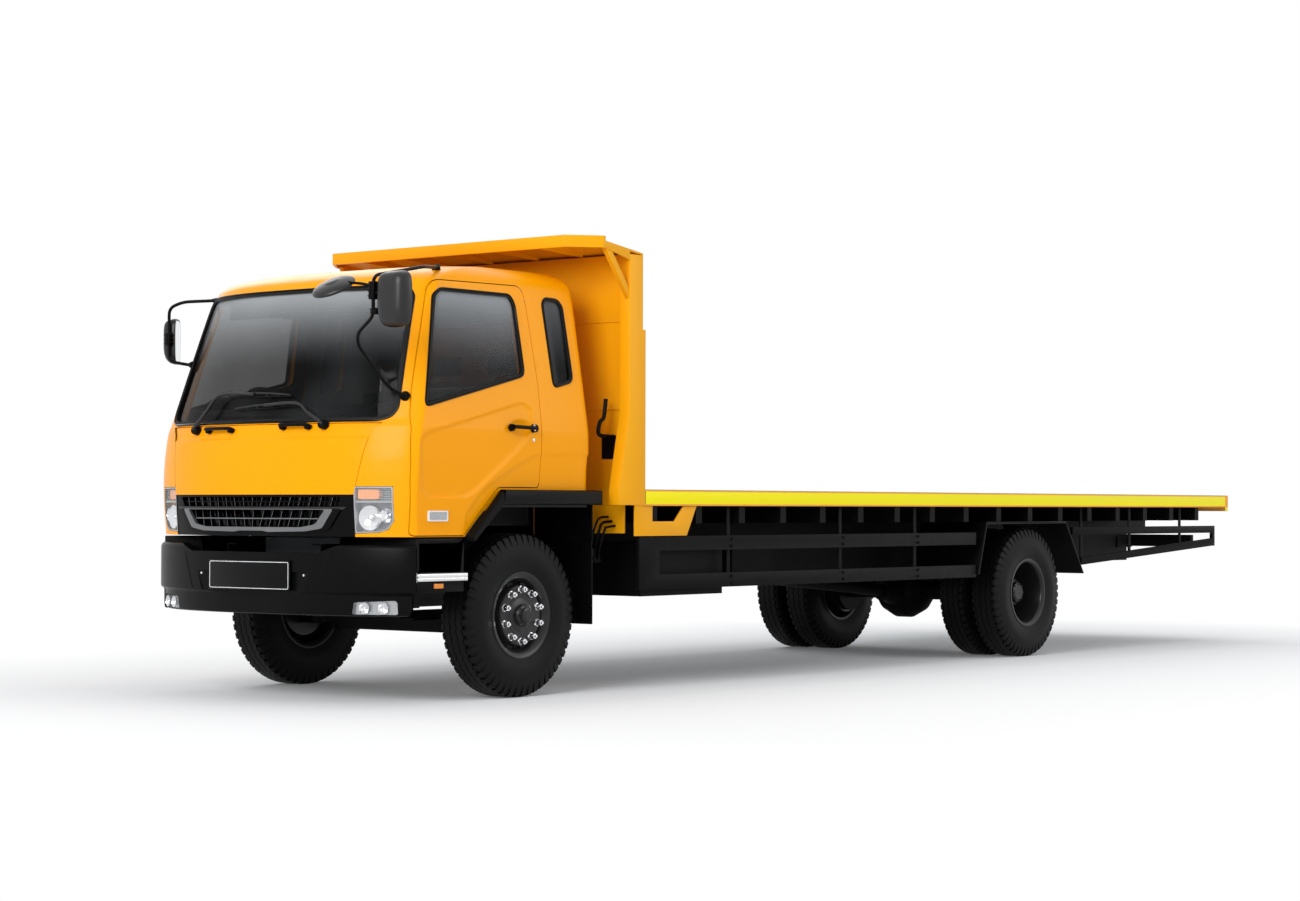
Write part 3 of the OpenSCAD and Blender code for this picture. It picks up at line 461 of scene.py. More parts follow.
def smooth_by_angle(thing: bpy.types.Object, degrees: float = 30.0) -> bpy.types.Object:
    """Shades an object smooth with sharp edges above an angle."""
    mesh = thing.data
    mesh.shade_smooth()
    mesh.set_sharp_from_angle(angle=math.radians(degrees))
    return thing


def painted(thing: bpy.types.Object, *looks: Look) -> bpy.types.Object:
    """Adds finishes to an object and gives it back."""
    for look in looks:
        thing.data.materials.append(look.made())
    return thing


def circle(count: int, radius: float = 1.0, phase: float = 0.0) -> list[tuple[float, float, float]]:
    """Points round a circle, each as its angle and the radius times its cosine and its sine."""
    angles = [2 * math.pi * (i + phase) / count for i in range(count)]
    return [(a, radius * math.cos(a), radius * math.sin(a)) for a in angles]


def bridge(bm: bmesh.types.BMesh, rings: Sequence[Sequence[bmesh.types.BMVert]]) -> None:
    """Joins each closed ring of vertices to the next one."""
    for a, b in zip(rings, rings[1:]):
        for i in range(len(a)):
            j = (i + 1) % len(a)
            bm.faces.new((a[i], a[j], b[j], b[i]))


def close_grid(bm: bmesh.types.BMesh, outer: Sequence, inner: Sequence) -> None:
    """Makes a closed sheet from two matching grids of vertices."""
    rows, cols = len(outer), len(outer[0])
    for grid, way in ((outer, 1), (inner, -1)):
        for a, b in zip(grid, grid[1:]):
            for j in range(cols - 1):
                bm.faces.new([a[j], a[j + 1], b[j + 1], b[j]][::way])
    rim = ([(0, j) for j in range(cols)] + [(i, cols - 1) for i in range(1, rows)]
           + [(rows - 1, j) for j in range(cols - 2, -1, -1)] + [(i, 0) for i in range(rows - 2, 0, -1)])
    for (i, j), (k, m) in zip(rim, rim[1:] + rim[:1]):
        bm.faces.new((outer[i][j], inner[i][j], inner[k][m], outer[k][m]))


def cone(bm: bmesh.types.BMesh, radius: float, top: float, depth: float, segments: int,
         matrix: Matrix = Matrix()) -> None:
    """Adds a capped cone about the middle of a matrix."""
    bmesh.ops.create_cone(bm, cap_ends=True, segments=segments, radius1=radius, radius2=top, depth=depth, matrix=matrix)


def turned(degrees: float, axis: str, at: Point = (0, 0, 0)) -> Matrix:
    """A turn about an axis, set at a point."""
    return Matrix.Translation(at) @ Matrix.Rotation(math.radians(degrees), 4, axis)


def moved(bm: bmesh.types.BMesh, matrix: Matrix) -> None:
    """Moves every vertex by a matrix."""
    bmesh.ops.transform(bm, matrix=matrix, verts=bm.verts)


def boolean(target: bpy.types.Object, tool: bpy.types.Object, operation: str) -> bpy.types.Object:
    """Cuts or clips an object by another one and gives the new object back."""
    modifier = target.modifiers.new("cut", "BOOLEAN")
    modifier.operation, modifier.solver, modifier.object = operation, "EXACT", tool
    name = target.name
    made = plain_copy(target, name)
    bpy.data.objects.remove(target)
    bpy.data.objects.remove(tool)
    made.name = name
    return made


def join(name: str, parts: Iterable[bpy.types.Object]) -> bpy.types.Object:
    """Joins objects into one, with their materials."""
    parts = list(parts)
    bm = bmesh.new()
    looks: list[bpy.types.Material] = []
    for part in parts:
        start = len(bm.faces)
        bm.from_mesh(part.data)
        bm.faces.ensure_lookup_table()
        slots = [m for m in part.data.materials] or [None]
        for m in slots:
            if m not in looks:
                looks.append(m)
        for i in range(start, len(bm.faces)):
            bm.faces[i].material_index = looks.index(slots[min(bm.faces[i].material_index, len(slots) - 1)])
    mesh = bpy.data.meshes.new(name)
    bm.to_mesh(mesh)
    bm.free()
    for look in looks:
        mesh.materials.append(look)
    for part in parts:
        bpy.data.objects.remove(part)
    return link(bpy.data.objects.new(name, mesh))


def prism(points: Outline, low: float, high: float, side_view: bool, name: str = "prism") -> bpy.types.Object:
    """An outline made solid.

    Args:
        points: x and z for a side view, y and z for a front view.
        low: where the solid starts, in y or in x.
        high: where it ends.
        side_view: whether the outline is seen from the side.

    Returns:
        The solid as an object.
    """
    bm = bmesh.new()
    ends = []
    for depth in (low, high):
        ends.append([bm.verts.new((p[0], depth, p[1]) if side_view else (depth, p[0], p[1])) for p in points])
    n = len(points)
    bm.faces.new(ends[0])
    bm.faces.new(list(reversed(ends[1])))
    for i in range(n):
        bm.faces.new((ends[0][i], ends[1][i], ends[1][(i + 1) % n], ends[0][(i + 1) % n]))
    return from_bmesh(bm, name)


def block(low: Point, high: Point, name: str = "block", look: Optional[Look] = None,
          bevel: float = 0.0, segments: int = 2) -> bpy.types.Object:
    """A box between two corners with rounded edges."""
    bm = bmesh.new()
    bmesh.ops.create_cube(bm, size=1.0)
    low, high = Vector(low), Vector(high)
    moved(bm, Matrix.Translation((low + high) / 2) @ Matrix.Diagonal((*(high - low), 1)))
    if bevel:
        bmesh.ops.bevel(bm, geom=bm.edges[:], offset=bevel, segments=segments, affect="EDGES", profile=0.5)
    return smooth_by_angle(from_bmesh(bm, name, look), 40)


def lathe(points: Outline, y: float, centre: Point, name: str, look: Look, sides: int = RING_FACES,
          closed: bool = False) -> bpy.types.Object:
    """A solid of revolution about a wheel's axis, from points of radius and side offset."""
    bm = bmesh.new()
    rings = []
    for _, c, s in circle(sides):
        rings.append([bm.verts.new((centre[0] + r * s, y + w, centre[2] + r * c)) for r, w in points])
    count = len(points) if closed else len(points) - 1
    for i in range(sides):
        for k in range(count):
            m = (k + 1) % len(points)
            bm.faces.new((rings[i][k], rings[(i + 1) % sides][k], rings[(i + 1) % sides][m], rings[i][m]))
    bmesh.ops.remove_doubles(bm, verts=bm.verts, dist=1e-5)
    return smooth_by_angle(from_bmesh(bm, name, look), 35)


def offset_outline(points: Outline, distance: float) -> list[tuple[float, float]]:
    """Moves an outline's sides outwards by a distance, or inwards where it is negative."""
    n = len(points)
    area = sum(points[i][0] * points[(i + 1) % n][1] - points[(i + 1) % n][0] * points[i][1] for i in range(n))
    sign = 1 if area > 0 else -1
    made = []
    for i in range(n):
        a, b, c = (Vector(points[k % n]) for k in (i - 1, i, i + 1))
        u, v = (b - a).normalized(), (c - b).normalized()
        nu, nv = Vector((u.y, -u.x)) * sign, Vector((v.y, -v.x)) * sign
        way = (nu + nv) / max(1 + nu.dot(nv), 0.3)
        made.append(tuple(b + way * distance))
    return made


def rounded(points: Outline, radius: float, steps: int = 4) -> list[tuple[float, float]]:
    """Rounds an outline's corners."""
    n, made = len(points), []
    for i in range(n):
        a, b, c = (Vector(points[k % n]) for k in (i - 1, i, i + 1))
        u, v = (a - b), (c - b)
        reach = min(radius, u.length * 0.45, v.length * 0.45)
        p, q = b + u.normalized() * reach, b + v.normalized() * reach
        for k in range(steps + 1):
            t = k / steps
            made.append(tuple(p * (1 - t) ** 2 + b * 2 * t * (1 - t) + q * t * t))
    return made


def densify(points: Sequence[Vector], pitch: float, closed: bool = True) -> list[Vector]:
    """Adds points along a path so that none are further apart than a pitch."""
    made, n = [], len(points)
    for i in range(n if closed else n - 1):
        a, b = Vector(points[i]), Vector(points[(i + 1) % n])
        steps = max(1, math.ceil((b - a).length / pitch))
        made += [a.lerp(b, k / steps) for k in range(steps)]
    return made if closed else made + [Vector(points[-1])]


def dense(points: Outline) -> list[Vector]:
    """An outline's points, set close enough for a strip that follows a curved skin."""
    return densify([Vector(p) for p in points], 0.03)


def smooth_path(points: Sequence[Point], steps: int = 6) -> list[Vector]:
    """A smooth curve through points."""
    pts = [Vector(p) for p in points]
    made = []
    for i in range(len(pts) - 1):
        p0, p1, p2, p3 = pts[max(i - 1, 0)], pts[i], pts[i + 1], pts[min(i + 2, len(pts) - 1)]
        for k in range(steps):
            t = k / steps
            made.append(0.5 * (2 * p1 + (p2 - p0) * t + (2 * p0 - 5 * p1 + 4 * p2 - p3) * t * t
                               + (3 * p1 - p0 - 3 * p2 + p3) * t ** 3))
    return made + [pts[-1]]


@dataclass
class Workshop:
    """The shared Geometry Nodes recipes and the way a piece is handed to the frame."""

    points_recipe: NodeRecipe = field(default_factory=instancer)
    strip_recipe: NodeRecipe = field(default_factory=sweeper)

    def strip(self, name: str, path: Sequence[Vector], radius: float, look: Look, closed: bool = True,
              sides: int = 8) -> bpy.types.Object:
        """Draws a round strip along a path."""
        bm = bmesh.new()
        verts = [bm.verts.new(p) for p in path]
        for a, b in zip(verts, verts[1:] + (verts[:1] if closed else [])):
            bm.edges.new((a, b))
        mesh = bpy.data.meshes.new("path")
        bm.to_mesh(mesh)
        bm.free()
        base = link(bpy.data.objects.new("path", mesh))
        return self.strip_recipe.run(base, name, Radius=radius, Sides=sides, Finish=look.made())

    def spread(self, name: str, shape: bpy.types.Object, places: Sequence[tuple[Point, Point]],
               look: Look, size: float = 1.0) -> bpy.types.Object:
        """Sets a shape on many places, each with a point and a turn in radians; the shape is removed."""
        mesh = bpy.data.meshes.new("points")
        mesh.from_pydata([tuple(p) for p, _ in places], [], [])
        turns = mesh.attributes.new("turn", "FLOAT_VECTOR", "POINT")
        for i, (_, turn) in enumerate(places):
            turns.data[i].vector = tuple(turn)
        base = link(bpy.data.objects.new("points", mesh))
        made = self.points_recipe.run(base, name, Shape=shape, Size=size, Finish=look.made())
        bpy.data.objects.remove(shape)
        return made

    def fit(self, piece: bpy.types.Object, body: str, slot: str, *stands_for: str) -> bpy.types.Object:
        """Hands a piece to the frame with its body and hides the nodes it stands for."""
        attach(piece, body)
        if stands_for:
            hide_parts(*stands_for)
        log.info("%s rides on %s, %d faces", piece.name, body, len(piece.data.polygons))
        return piece

    def close(self, name: str, parts: Iterable[bpy.types.Object], angle: float, body: str, slot: str,
              *stands_for: str) -> None:
        """Joins parts into one smooth piece and hands it to the frame."""
        self.fit(smooth_by_angle(join(name, parts), angle), body, slot, *stands_for)


class Side(Enum):
    """The truck's left and right."""

    LEFT = 1
    RIGHT = -1

    @property
    def word(self) -> str:
        """The side's name in a node's name."""
        return self.name.lower()


def mirrored(thing: bpy.types.Object, name: str, keep: bool = True) -> bpy.types.Object:
    """A copy of an object on the truck's other side."""
    bm = bmesh.new()
    bm.from_mesh(thing.data)
    bmesh.ops.scale(bm, vec=(1, -1, 1), verts=bm.verts)
    bmesh.ops.reverse_faces(bm, faces=bm.faces)
    mesh = bpy.data.meshes.new(name)
    bm.to_mesh(mesh)
    bm.free()
    for m in thing.data.materials:
        mesh.materials.append(m)
    made = link(bpy.data.objects.new(name, mesh))
    if not keep:
        bpy.data.objects.remove(thing)
    return made


# The cab


@dataclass
class CabForm:
    """The cab's smooth outer form, from rows of height, nose x, half width and rear x."""

    axle_x: float
    rows: tuple = (
        (1.04, 1.335, 1.145, -0.63), (1.3, 1.35, 1.155, -0.63), (1.5, 1.34, 1.16, -0.63),
        (1.7, 1.31, 1.158, -0.63), (1.77, 1.285, 1.15, -0.63), (2.6, 1.03, 1.01, -0.63),
        (2.66, 0.985, 0.995, -0.63), (2.7, 0.9, 0.975, -0.625), (2.74, 0.74, 0.925, -0.61),
        (2.77, 0.5, 0.85, -0.585), (2.795, 0.3, 0.72, -0.55), (2.812, 0.08, 0.52, -0.5),
        (2.82, -0.12, 0.28, -0.42))
    nose_depth: float = 0.3
    corner: float = 0.08
    nose_power: float = 1.54
    side_power: float = 0.769

    def row(self, t: float) -> tuple[float, float, float, float]:
        """The section at a place along the rows, by a monotone curve through them."""
        i = min(int(t), len(self.rows) - 2)
        u = t - i

        def slope(k: int, c: int) -> float:
            """The curve's slope at a row."""
            if k == 0 or k == len(self.rows) - 1:
                j = min(k, len(self.rows) - 2)
                return self.rows[j + 1][c] - self.rows[j][c]
            a, b = self.rows[k][c] - self.rows[k - 1][c], self.rows[k + 1][c] - self.rows[k][c]
            return 0.0 if a * b <= 0 else 2 * a * b / (a + b)

        made = []
        for c in range(4):
            p, q, m, n = self.rows[i][c], self.rows[i + 1][c], slope(i, c), slope(i + 1, c)
            made.append((2 * u ** 3 - 3 * u ** 2 + 1) * p + (u ** 3 - 2 * u ** 2 + u) * m
                        + (3 * u ** 2 - 2 * u ** 3) * q + (u ** 3 - u ** 2) * n)
        return tuple(made)

    def at_height(self, z: float) -> tuple[float, float, float, float]:
        """The section at a height."""
        low, high = 0.0, len(self.rows) - 1.0
        for _ in range(40):
            mid = (low + high) / 2
            if self.row(mid)[0] < z:
                low = mid
            else:
                high = mid
        return self.row(low)

    def stations(self, nose: int = 22, side: int = 24) -> list[tuple[str, float]]:
        """Places round half a section, from the nose to the middle of the rear wall."""
        made = [("nose", v) for v in [i / nose * 0.86 for i in range(nose)]]
        first = math.degrees(math.asin(0.86 ** (1 / self.side_power)))
        made += [("nose_angle", first + (90 - first) * i / 12) for i in range(12)]
        made += [("side", i / side) for i in range(side + 1)]
        made += [("corner", 90 + 10 * i) for i in range(1, 9)]
        return made + [("rear", i / 6) for i in range(7)]

    def plan(self, station: tuple[str, float], row: tuple, inset: float) -> tuple[float, float]:
        """One station's x and y at a section, moved in by an inset."""
        kind, v = station
        _, xf, hw, xr = row
        hw, xf, xr = hw - inset, xf - inset, xr + inset
        if kind in ("nose", "nose_angle"):
            a = math.asin(v ** (1 / self.side_power)) if kind == "nose" else math.radians(v)
            return (xf - self.nose_depth * (1 - max(math.cos(a), 0.0) ** self.nose_power),
                    hw * math.sin(a) ** self.side_power)
        if kind == "side":
            return xf - self.nose_depth + (xr + self.corner - xf + self.nose_depth) * v, hw
        if kind == "corner":
            a = math.radians(v)
            return xr + self.corner * (1 + math.cos(a)), hw - self.corner * (1 - math.sin(a))
        return xr, (hw - self.corner) * (1 - v)

    def heights(self, step: float = 0.035) -> list[float]:
        """Row places that are close enough for a smooth surface."""
        made = []
        for i in range(len(self.rows) - 1):
            a, b = self.rows[i], self.rows[i + 1]
            count = max(2, math.ceil(math.hypot(b[0] - a[0], b[1] - a[1], b[2] - a[2]) / step))
            made += [i + k / count for k in range(count)]
        return made + [len(self.rows) - 1.0]

    def point(self, station: tuple[str, float], t: float, inset: float, sign: int = 1) -> Vector:
        """A point of the form in the truck's frame."""
        row = self.row(t)
        x, y = self.plan(station, row, inset)
        drop = inset * min(1.0, max(0.0, (row[0] - 2.6) / 0.06))
        return Vector((x + self.axle_x, sign * y, row[0] - drop))

    def solid(self, inset: float, name: str = "form", lower: float = 0.0,
              press: Optional[Callable[[Vector], float]] = None, z_step: float = 0.035) -> bpy.types.Object:
        """The whole closed form, moved in by an inset and with its open bottom lowered."""
        half = self.stations()
        around = [(s, 1) for s in half] + [(s, -1) for s in reversed(half[1:-1])]
        bm = bmesh.new()
        rings = []
        for k, t in enumerate(self.heights(z_step)):
            shift = Vector((0, 0, -lower if k == 0 else 0))
            line = [(s, sign, self.point(s, t, inset, sign)) for s, sign in around]
            if press:
                line = [(s, sign, self.point(s, t, inset + press(p), sign)) for s, sign, p in line]
            rings.append([bm.verts.new(p + shift) for _, _, p in line])
        bridge(bm, rings)
        bm.faces.new(list(reversed(rings[0])))
        bm.faces.new(rings[-1])
        return from_bmesh(bm, name)

    def slab(self, first: int, last: int, t_low: float, t_high: float, inset: float, thickness: float, name: str,
             press: Optional[Callable[[Vector], float]] = None, side_steps: int = 24, z_step: float = 0.035,
             both: bool = False) -> bpy.types.Object:
        """A closed piece of the skin between two stations and two row places.

        Args:
            first: the first station's number.
            last: the last station's number.
            t_low: the lowest row place.
            t_high: the highest row place.
            inset: how far the outer face lies inside the form.
            thickness: the piece's thickness.
            name: the piece's name.
            press: a depth by which a point of the outer face is pressed in.
            side_steps: how many stations the straight side has.
            z_step: the distance between rows.
            both: whether the piece runs across the middle to the other side.

        Returns:
            The piece as an object.
        """
        half = self.stations(side=side_steps)
        around = [(s, 1) for s in half[first:last + 1]]
        if both:
            around = [(s, -1) for s in reversed(half[1:last + 1])] + [(s, 1) for s in half[:last + 1]]
        ts = [t_low] + [t for t in self.heights(z_step) if t_low < t < t_high] + [t_high]
        bm = bmesh.new()
        grids = []
        for depth in (inset, inset + thickness):
            grid = []
            for t in ts:
                line = []
                for s, sign in around:
                    p = self.point(s, t, depth, sign)
                    if press and depth == inset:
                        p = self.point(s, t, depth + press(p), sign)
                    line.append(bm.verts.new(p))
                grid.append(line)
            grids.append(grid)
        close_grid(bm, *grids)
        return from_bmesh(bm, name)

    def front_point(self, y: float, z: float, lift: float = 0.0) -> Vector:
        """The point of the front skin at a side offset and a height, lifted off it."""
        def at(yy: float, zz: float) -> Vector:
            """The skin's point without lift."""
            _, xf, hw, _ = self.at_height(zz)
            s = min(1.0, (abs(yy) / hw)) ** (1 / self.side_power)
            return Vector((self.axle_x + xf - self.nose_depth * (1 - math.sqrt(1 - s * s) ** self.nose_power), yy, zz))
        p, d = at(y, z), 0.004
        normal = (at(y + d, z) - at(y - d, z)).cross(at(y, z + d) - at(y, z - d)).normalized()
        return p + normal * lift

    def side_point(self, x: float, z: float, lift: float = 0.0) -> Vector:
        """The point of the side skin at a place ahead of the front axle and a height, lifted off it."""
        def at(xx: float, zz: float) -> Vector:
            """The skin's point without lift."""
            _, xf, hw, xr = self.at_height(zz)
            share = 1 - (xf - xx) / self.nose_depth
            if share <= 0:
                over = (xr + self.corner - xx) / self.corner
                drop = self.corner * (1 - math.sqrt(max(0.0, 1 - over * over))) if over > 0 else 0.0
                return Vector((self.axle_x + xx, hw - drop, zz))
            c = min(1.0, share) ** (1 / self.nose_power)
            return Vector((self.axle_x + xx, hw * math.sqrt(max(0.0, 1 - c * c)) ** self.side_power, zz))
        p, d = at(x, z), 0.004
        normal = (at(x, z + d) - at(x, z - d)).cross(at(x + d, z) - at(x - d, z)).normalized()
        if normal.y < 0:
            normal = -normal
        return p + normal * lift


DOOR: Outline = ((1.075, 1.046), (1.083, 1.39), (1.069, 1.634), (1.046, 1.77), (1.0, 1.944), (0.918, 2.196),
                 (0.822, 2.483), (0.78, 2.6), (0.725, 2.65), (-0.045, 2.66), (-0.085, 2.63), (-0.1, 2.54),
                 (-0.125, 2.032), (-0.11, 1.71), (-0.1, 1.35), (0.3, 1.35), (0.61, 1.046))
DOOR_WINDOW: Outline = ((0.965, 1.84), (-0.005, 2.07), (0.005, 2.54), (0.045, 2.6), (0.7, 2.6),
                        (0.765, 2.56))
QUARTER_WINDOW: Outline = ((-0.276, 2.0), (-0.483, 2.05), (-0.47, 2.55), (-0.43, 2.596), (-0.3, 2.6),
                           (-0.262, 2.56))
WHEEL_WELL: Outline = ((-0.9, 0.9), (-0.9, 1.225), (0.26, 1.225), (0.42, 1.17), (0.57, 1.03),
                       (0.57, 0.9))
WINDSCREEN: Outline = ((-1.015, 1.83), (-0.99, 1.78), (-0.92, 1.757), (0.92, 1.757), (0.99, 1.78),
                       (1.015, 1.83), (0.928, 2.55), (0.88, 2.604), (-0.88, 2.604), (-0.928, 2.55))
REAR_WINDOW: Outline = ((-0.56, 2.05), (0.56, 2.05), (0.56, 2.48), (-0.56, 2.48))
FRONT_PANEL: Outline = ((-0.812, 1.3), (0.812, 1.3), (0.872, 1.61), (0.9, 1.695), (0.945, 1.74),
                        (-0.945, 1.74), (-0.9, 1.695), (-0.872, 1.61))

RECESS: Outline = ((0.968, 1.679), (0.097, 1.884), (0.03, 1.892), (-0.031, 1.851), (-0.015, 1.769), (0.03, 1.675),
                   (0.115, 1.598), (0.41, 1.403), (0.524, 1.324), (0.611, 1.287), (0.932, 1.283), (1.005, 1.328),
                   (1.021, 1.634))
LOWER_SIDE: Outline = ((-0.7, 1.566), (-0.116, 1.562), (-0.03, 1.552), (0.175, 1.469), (0.409, 1.356),
                       (0.522, 1.261), (0.6, 1.18), (0.6, 0.9), (-0.7, 0.9))
LAMP: Outline = ((0.8115, 1.35), (1.046, 1.35), (1.046, 1.14), (1.012, 1.085), (0.96, 1.066), (0.8115, 1.06))
GRILLE: Outline = ((-0.8115, 1.0405), (0.8115, 1.0405), (0.8115, 1.2995), (-0.8115, 1.2995))
UPPER_SLOT: Outline = ((-0.735, 1.286), (-0.7, 1.226), (0.7, 1.226), (0.735, 1.286))
LOWER_SLOT: Outline = ((-0.64, 1.204), (-0.56, 1.112), (-0.44, 1.094), (0.44, 1.094), (0.56, 1.112),
                       (0.64, 1.204))
MOULDING: Outline = ((-0.735, 1.212), (-0.64, 1.082), (-0.5, 1.062), (-0.16, 1.056), (-0.12, 1.064),
                     (0.12, 1.064), (0.16, 1.056), (0.5, 1.062), (0.64, 1.082), (0.735, 1.212))


def inside_depth(points: Outline, x: float, z: float) -> float:
    """How deep a point lies inside an outline, negative outside it."""
    inside, nearest, n = False, 1e9, len(points)
    for i in range(n):
        (ax, az), (bx, bz) = points[i], points[(i + 1) % n]
        if (az > z) != (bz > z) and x < (bx - ax) * (z - az) / (bz - az) + ax:
            inside = not inside
        ex, ez = bx - ax, bz - az
        t = max(0.0, min(1.0, ((x - ax) * ex + (z - az) * ez) / (ex * ex + ez * ez)))
        nearest = min(nearest, math.hypot(x - ax - t * ex, z - az - t * ez))
    return nearest if inside else -nearest


def ease(value: float) -> float:
    """A smooth step from 0 to 1."""
    v = max(0.0, min(1.0, value))
    return v * v * (3 - 2 * v)


@dataclass
class CabSkin:
    """The cab's painted panels with their seams, pressings, glass and window rubbers."""

    shop: Workshop
    form: CabForm
    wall: float = 0.055
    seam: float = 0.006
    cut_y: tuple = (0.7, 1.25)
    recess_depth: float = 0.009
    crease_depth: float = 0.006
    crease_slope: float = 0.05
    crease_limit: float = 0.018
    glass_depth: float = 0.012
    glass_thickness: float = 0.006
    rubber: float = 0.02
    handle: tuple = (0.075, 1.73)

    def side_cut(self, points: Outline, grow: float = 0.0, both: bool = True, low: float = 0.0) -> bpy.types.Object:
        """A cutter through the cab's side or both its sides."""
        line = [(x + self.form.axle_x, z) for x, z in offset_outline(points, grow)]
        inner = low or self.cut_y[0]
        left = prism(line, inner, self.cut_y[1], True)
        if not both:
            return left
        return join("cut", [left, prism(line, -self.cut_y[1], -inner, True)])

    def front_cut(self, points: Outline, low: float, high: float, grow: float = 0.0) -> bpy.types.Object:
        """A cutter along the truck, seen from the front."""
        return prism(offset_outline(points, grow), low + self.form.axle_x, high + self.form.axle_x, False)

    def crease(self, p: Vector) -> float:
        """How far the lower side is pressed in at a point."""
        d = inside_depth(LOWER_SIDE, p.x - self.form.axle_x, p.z)
        if abs(p.y) < 0.9 or d < -0.01:
            return 0.0
        return ease(d / 0.016 + 0.5) * min(self.crease_depth + max(d, 0.0) * self.crease_slope, self.crease_limit)

    def door_press(self, p: Vector) -> float:
        """How far a door's skin is pressed in at a point."""
        x, z = p.x - self.form.axle_x, p.z
        pressed = self.recess_depth * ease(inside_depth(RECESS, x, z) / 0.014 + 0.5)
        cup = math.hypot((x - self.handle[0]) / 0.08, (z - self.handle[1]) / 0.046)
        return max(pressed, 0.0) + self.crease(p) + 0.022 * ease(1.4 - cup)

    def panel_press(self, p: Vector) -> float:
        """How far the front panel is pressed in at a point."""
        return 0.008 * ease((p.z - 1.654) / 0.016 + 0.5)

    def line_inside(self, piece: bpy.types.Object, look: Look = Look.LINING) -> bpy.types.Object:
        """Gives the lining's finish to the faces that look into the cab."""
        index = len(painted(piece, look, Look.TRIM).data.materials) - 2
        for face in piece.data.polygons:
            c, n = face.center, face.normal
            row = self.form.at_height(min(c.z, 2.815))
            across = abs(c.y) < row[2] - 0.03
            middle = self.form.axle_x + (row[1] + row[3]) / 2
            inward = n.y * c.y < -0.2 * abs(c.y) or n.x * (c.x - middle) < -0.3 * abs(c.x - middle)
            if across and (inward or n.z < -0.5 and c.z > 2.5 or n.z > 0.5 and c.z < 1.2):
                face.material_index = index + (c.z < 1.75)
        return piece

    def shell(self) -> None:
        """The cab's fixed shell with its floor and wheel wells."""
        cab = boolean(self.form.solid(0.0, "cab_shell_skin", press=self.crease, z_step=0.014),
                      self.form.solid(self.wall, "inner", lower=0.02), "DIFFERENCE")
        painted(cab, Look.CAB)
        for tool in (self.front_cut(rounded(WINDSCREEN, 0.05), 0.6, 1.6),
                     self.side_cut(rounded(DOOR, 0.03), self.seam / 2),
                     join("cut", [self.side_cut(rounded(QUARTER_WINDOW, 0.04)),
                                  self.front_cut(rounded(REAR_WINDOW, 0.08), -0.75, -0.4)]),
                     self.front_cut(FRONT_PANEL, 0.8, 1.6, self.seam / 2),
                     self.front_cut([(-0.8125, 0.9), (0.8125, 0.9), (0.8125, 1.303), (-0.8125, 1.303)], 0.8, 1.6),
                     join("cut", [self.front_cut(LAMP, 1.095, 1.6, 0.001),
                                  self.front_cut([(-y, z) for y, z in LAMP], 1.095, 1.6, 0.001)]),
                     self.side_cut(WHEEL_WELL, low=0.64)):
            cab = boolean(cab, tool, "DIFFERENCE")
        floor = boolean(self.form.solid(self.wall - 0.002, "floor", lower=0.01),
                        block((self.form.axle_x - 0.7, -1.2, 1.0405), (self.form.axle_x + 0.69, 1.2, 1.1)), "INTERSECT")
        floor = boolean(floor, self.side_cut(WHEEL_WELL, low=0.64), "DIFFERENCE")
        lining = boolean(self.side_cut(WHEEL_WELL, 0.03, low=0.61), self.side_cut(WHEEL_WELL, low=0.64), "DIFFERENCE")
        lining = boolean(lining, self.form.solid(0.003, "limit"), "INTERSECT")
        for part in (floor, lining):
            part.data.materials.clear()
            painted(part, Look.TRIM)
        self.shop.close("cab_shell_skin", [self.line_inside(cab), floor, lining], 28, "cab", "cab_paint", "cab_shell")

    def front_panel(self) -> None:
        """The smooth painted panel under the windscreen."""
        slab = self.form.slab(0, 28, 0.9, 4.2, 0.0, 0.03, "front_panel_skin", press=self.panel_press, z_step=0.01,
                              both=True)
        made = boolean(painted(slab, Look.CAB), self.front_cut(FRONT_PANEL, 0.8, 1.6, -0.0005), "INTERSECT")
        self.shop.fit(smooth_by_angle(made, 28), "cab", "cab_paint", "front_panel")

    def door(self) -> None:
        """Both doors with their pressings, handles, rubbers and panes."""
        last = SIDE_START + 92
        slab = self.form.slab(NOSE_STATIONS, last, 0.0, 7.0, 0.0, self.wall, "door_left_skin", press=self.door_press,
                              side_steps=112, z_step=0.012)
        door = boolean(painted(slab, Look.CAB), self.side_cut(rounded(DOOR, 0.03), -self.seam / 2, both=False),
                       "INTERSECT")
        door = boolean(door, self.side_cut(rounded(DOOR_WINDOW, 0.05), both=False), "DIFFERENCE")
        door = smooth_by_angle(self.line_inside(door, Look.TRIM), 28)
        pieces = {"skin": (door, "cab_paint"), "handle": (self.handle_piece(), "black_plastic"),
                  "rubber": (self.frame_rubber("door_rubber", DOOR_WINDOW, NOSE_STATIONS, last), "black_plastic"),
                  "pane": (self.pane("door_pane", DOOR_WINDOW, NOSE_STATIONS, last, Look.PANE), "window_glass")}
        for kind, (piece, slot) in pieces.items():
            right = mirrored(piece, f"door_right_{kind}")
            left = mirrored(mirrored(piece, "swap", keep=False), f"door_left_{kind}", keep=False)
            for side, made in ((Side.LEFT, left), (Side.RIGHT, right)):
                stands = {"skin": (f"door_{side.word}",), "pane": (f"door_glass_{side.word}",)}.get(kind, ())
                self.shop.fit(made, f"door_{side.word}", slot, *stands)

    def pane(self, name: str, outline: Outline, first: int, last: int, look: Look) -> bpy.types.Object:
        """One curved side pane."""
        slab = painted(self.form.slab(first, last, 3.5, 6.5, self.glass_depth, self.glass_thickness, name), look)
        return smooth_by_angle(boolean(slab, self.side_cut(rounded(outline, 0.05), -0.0005, both=False), "INTERSECT"))

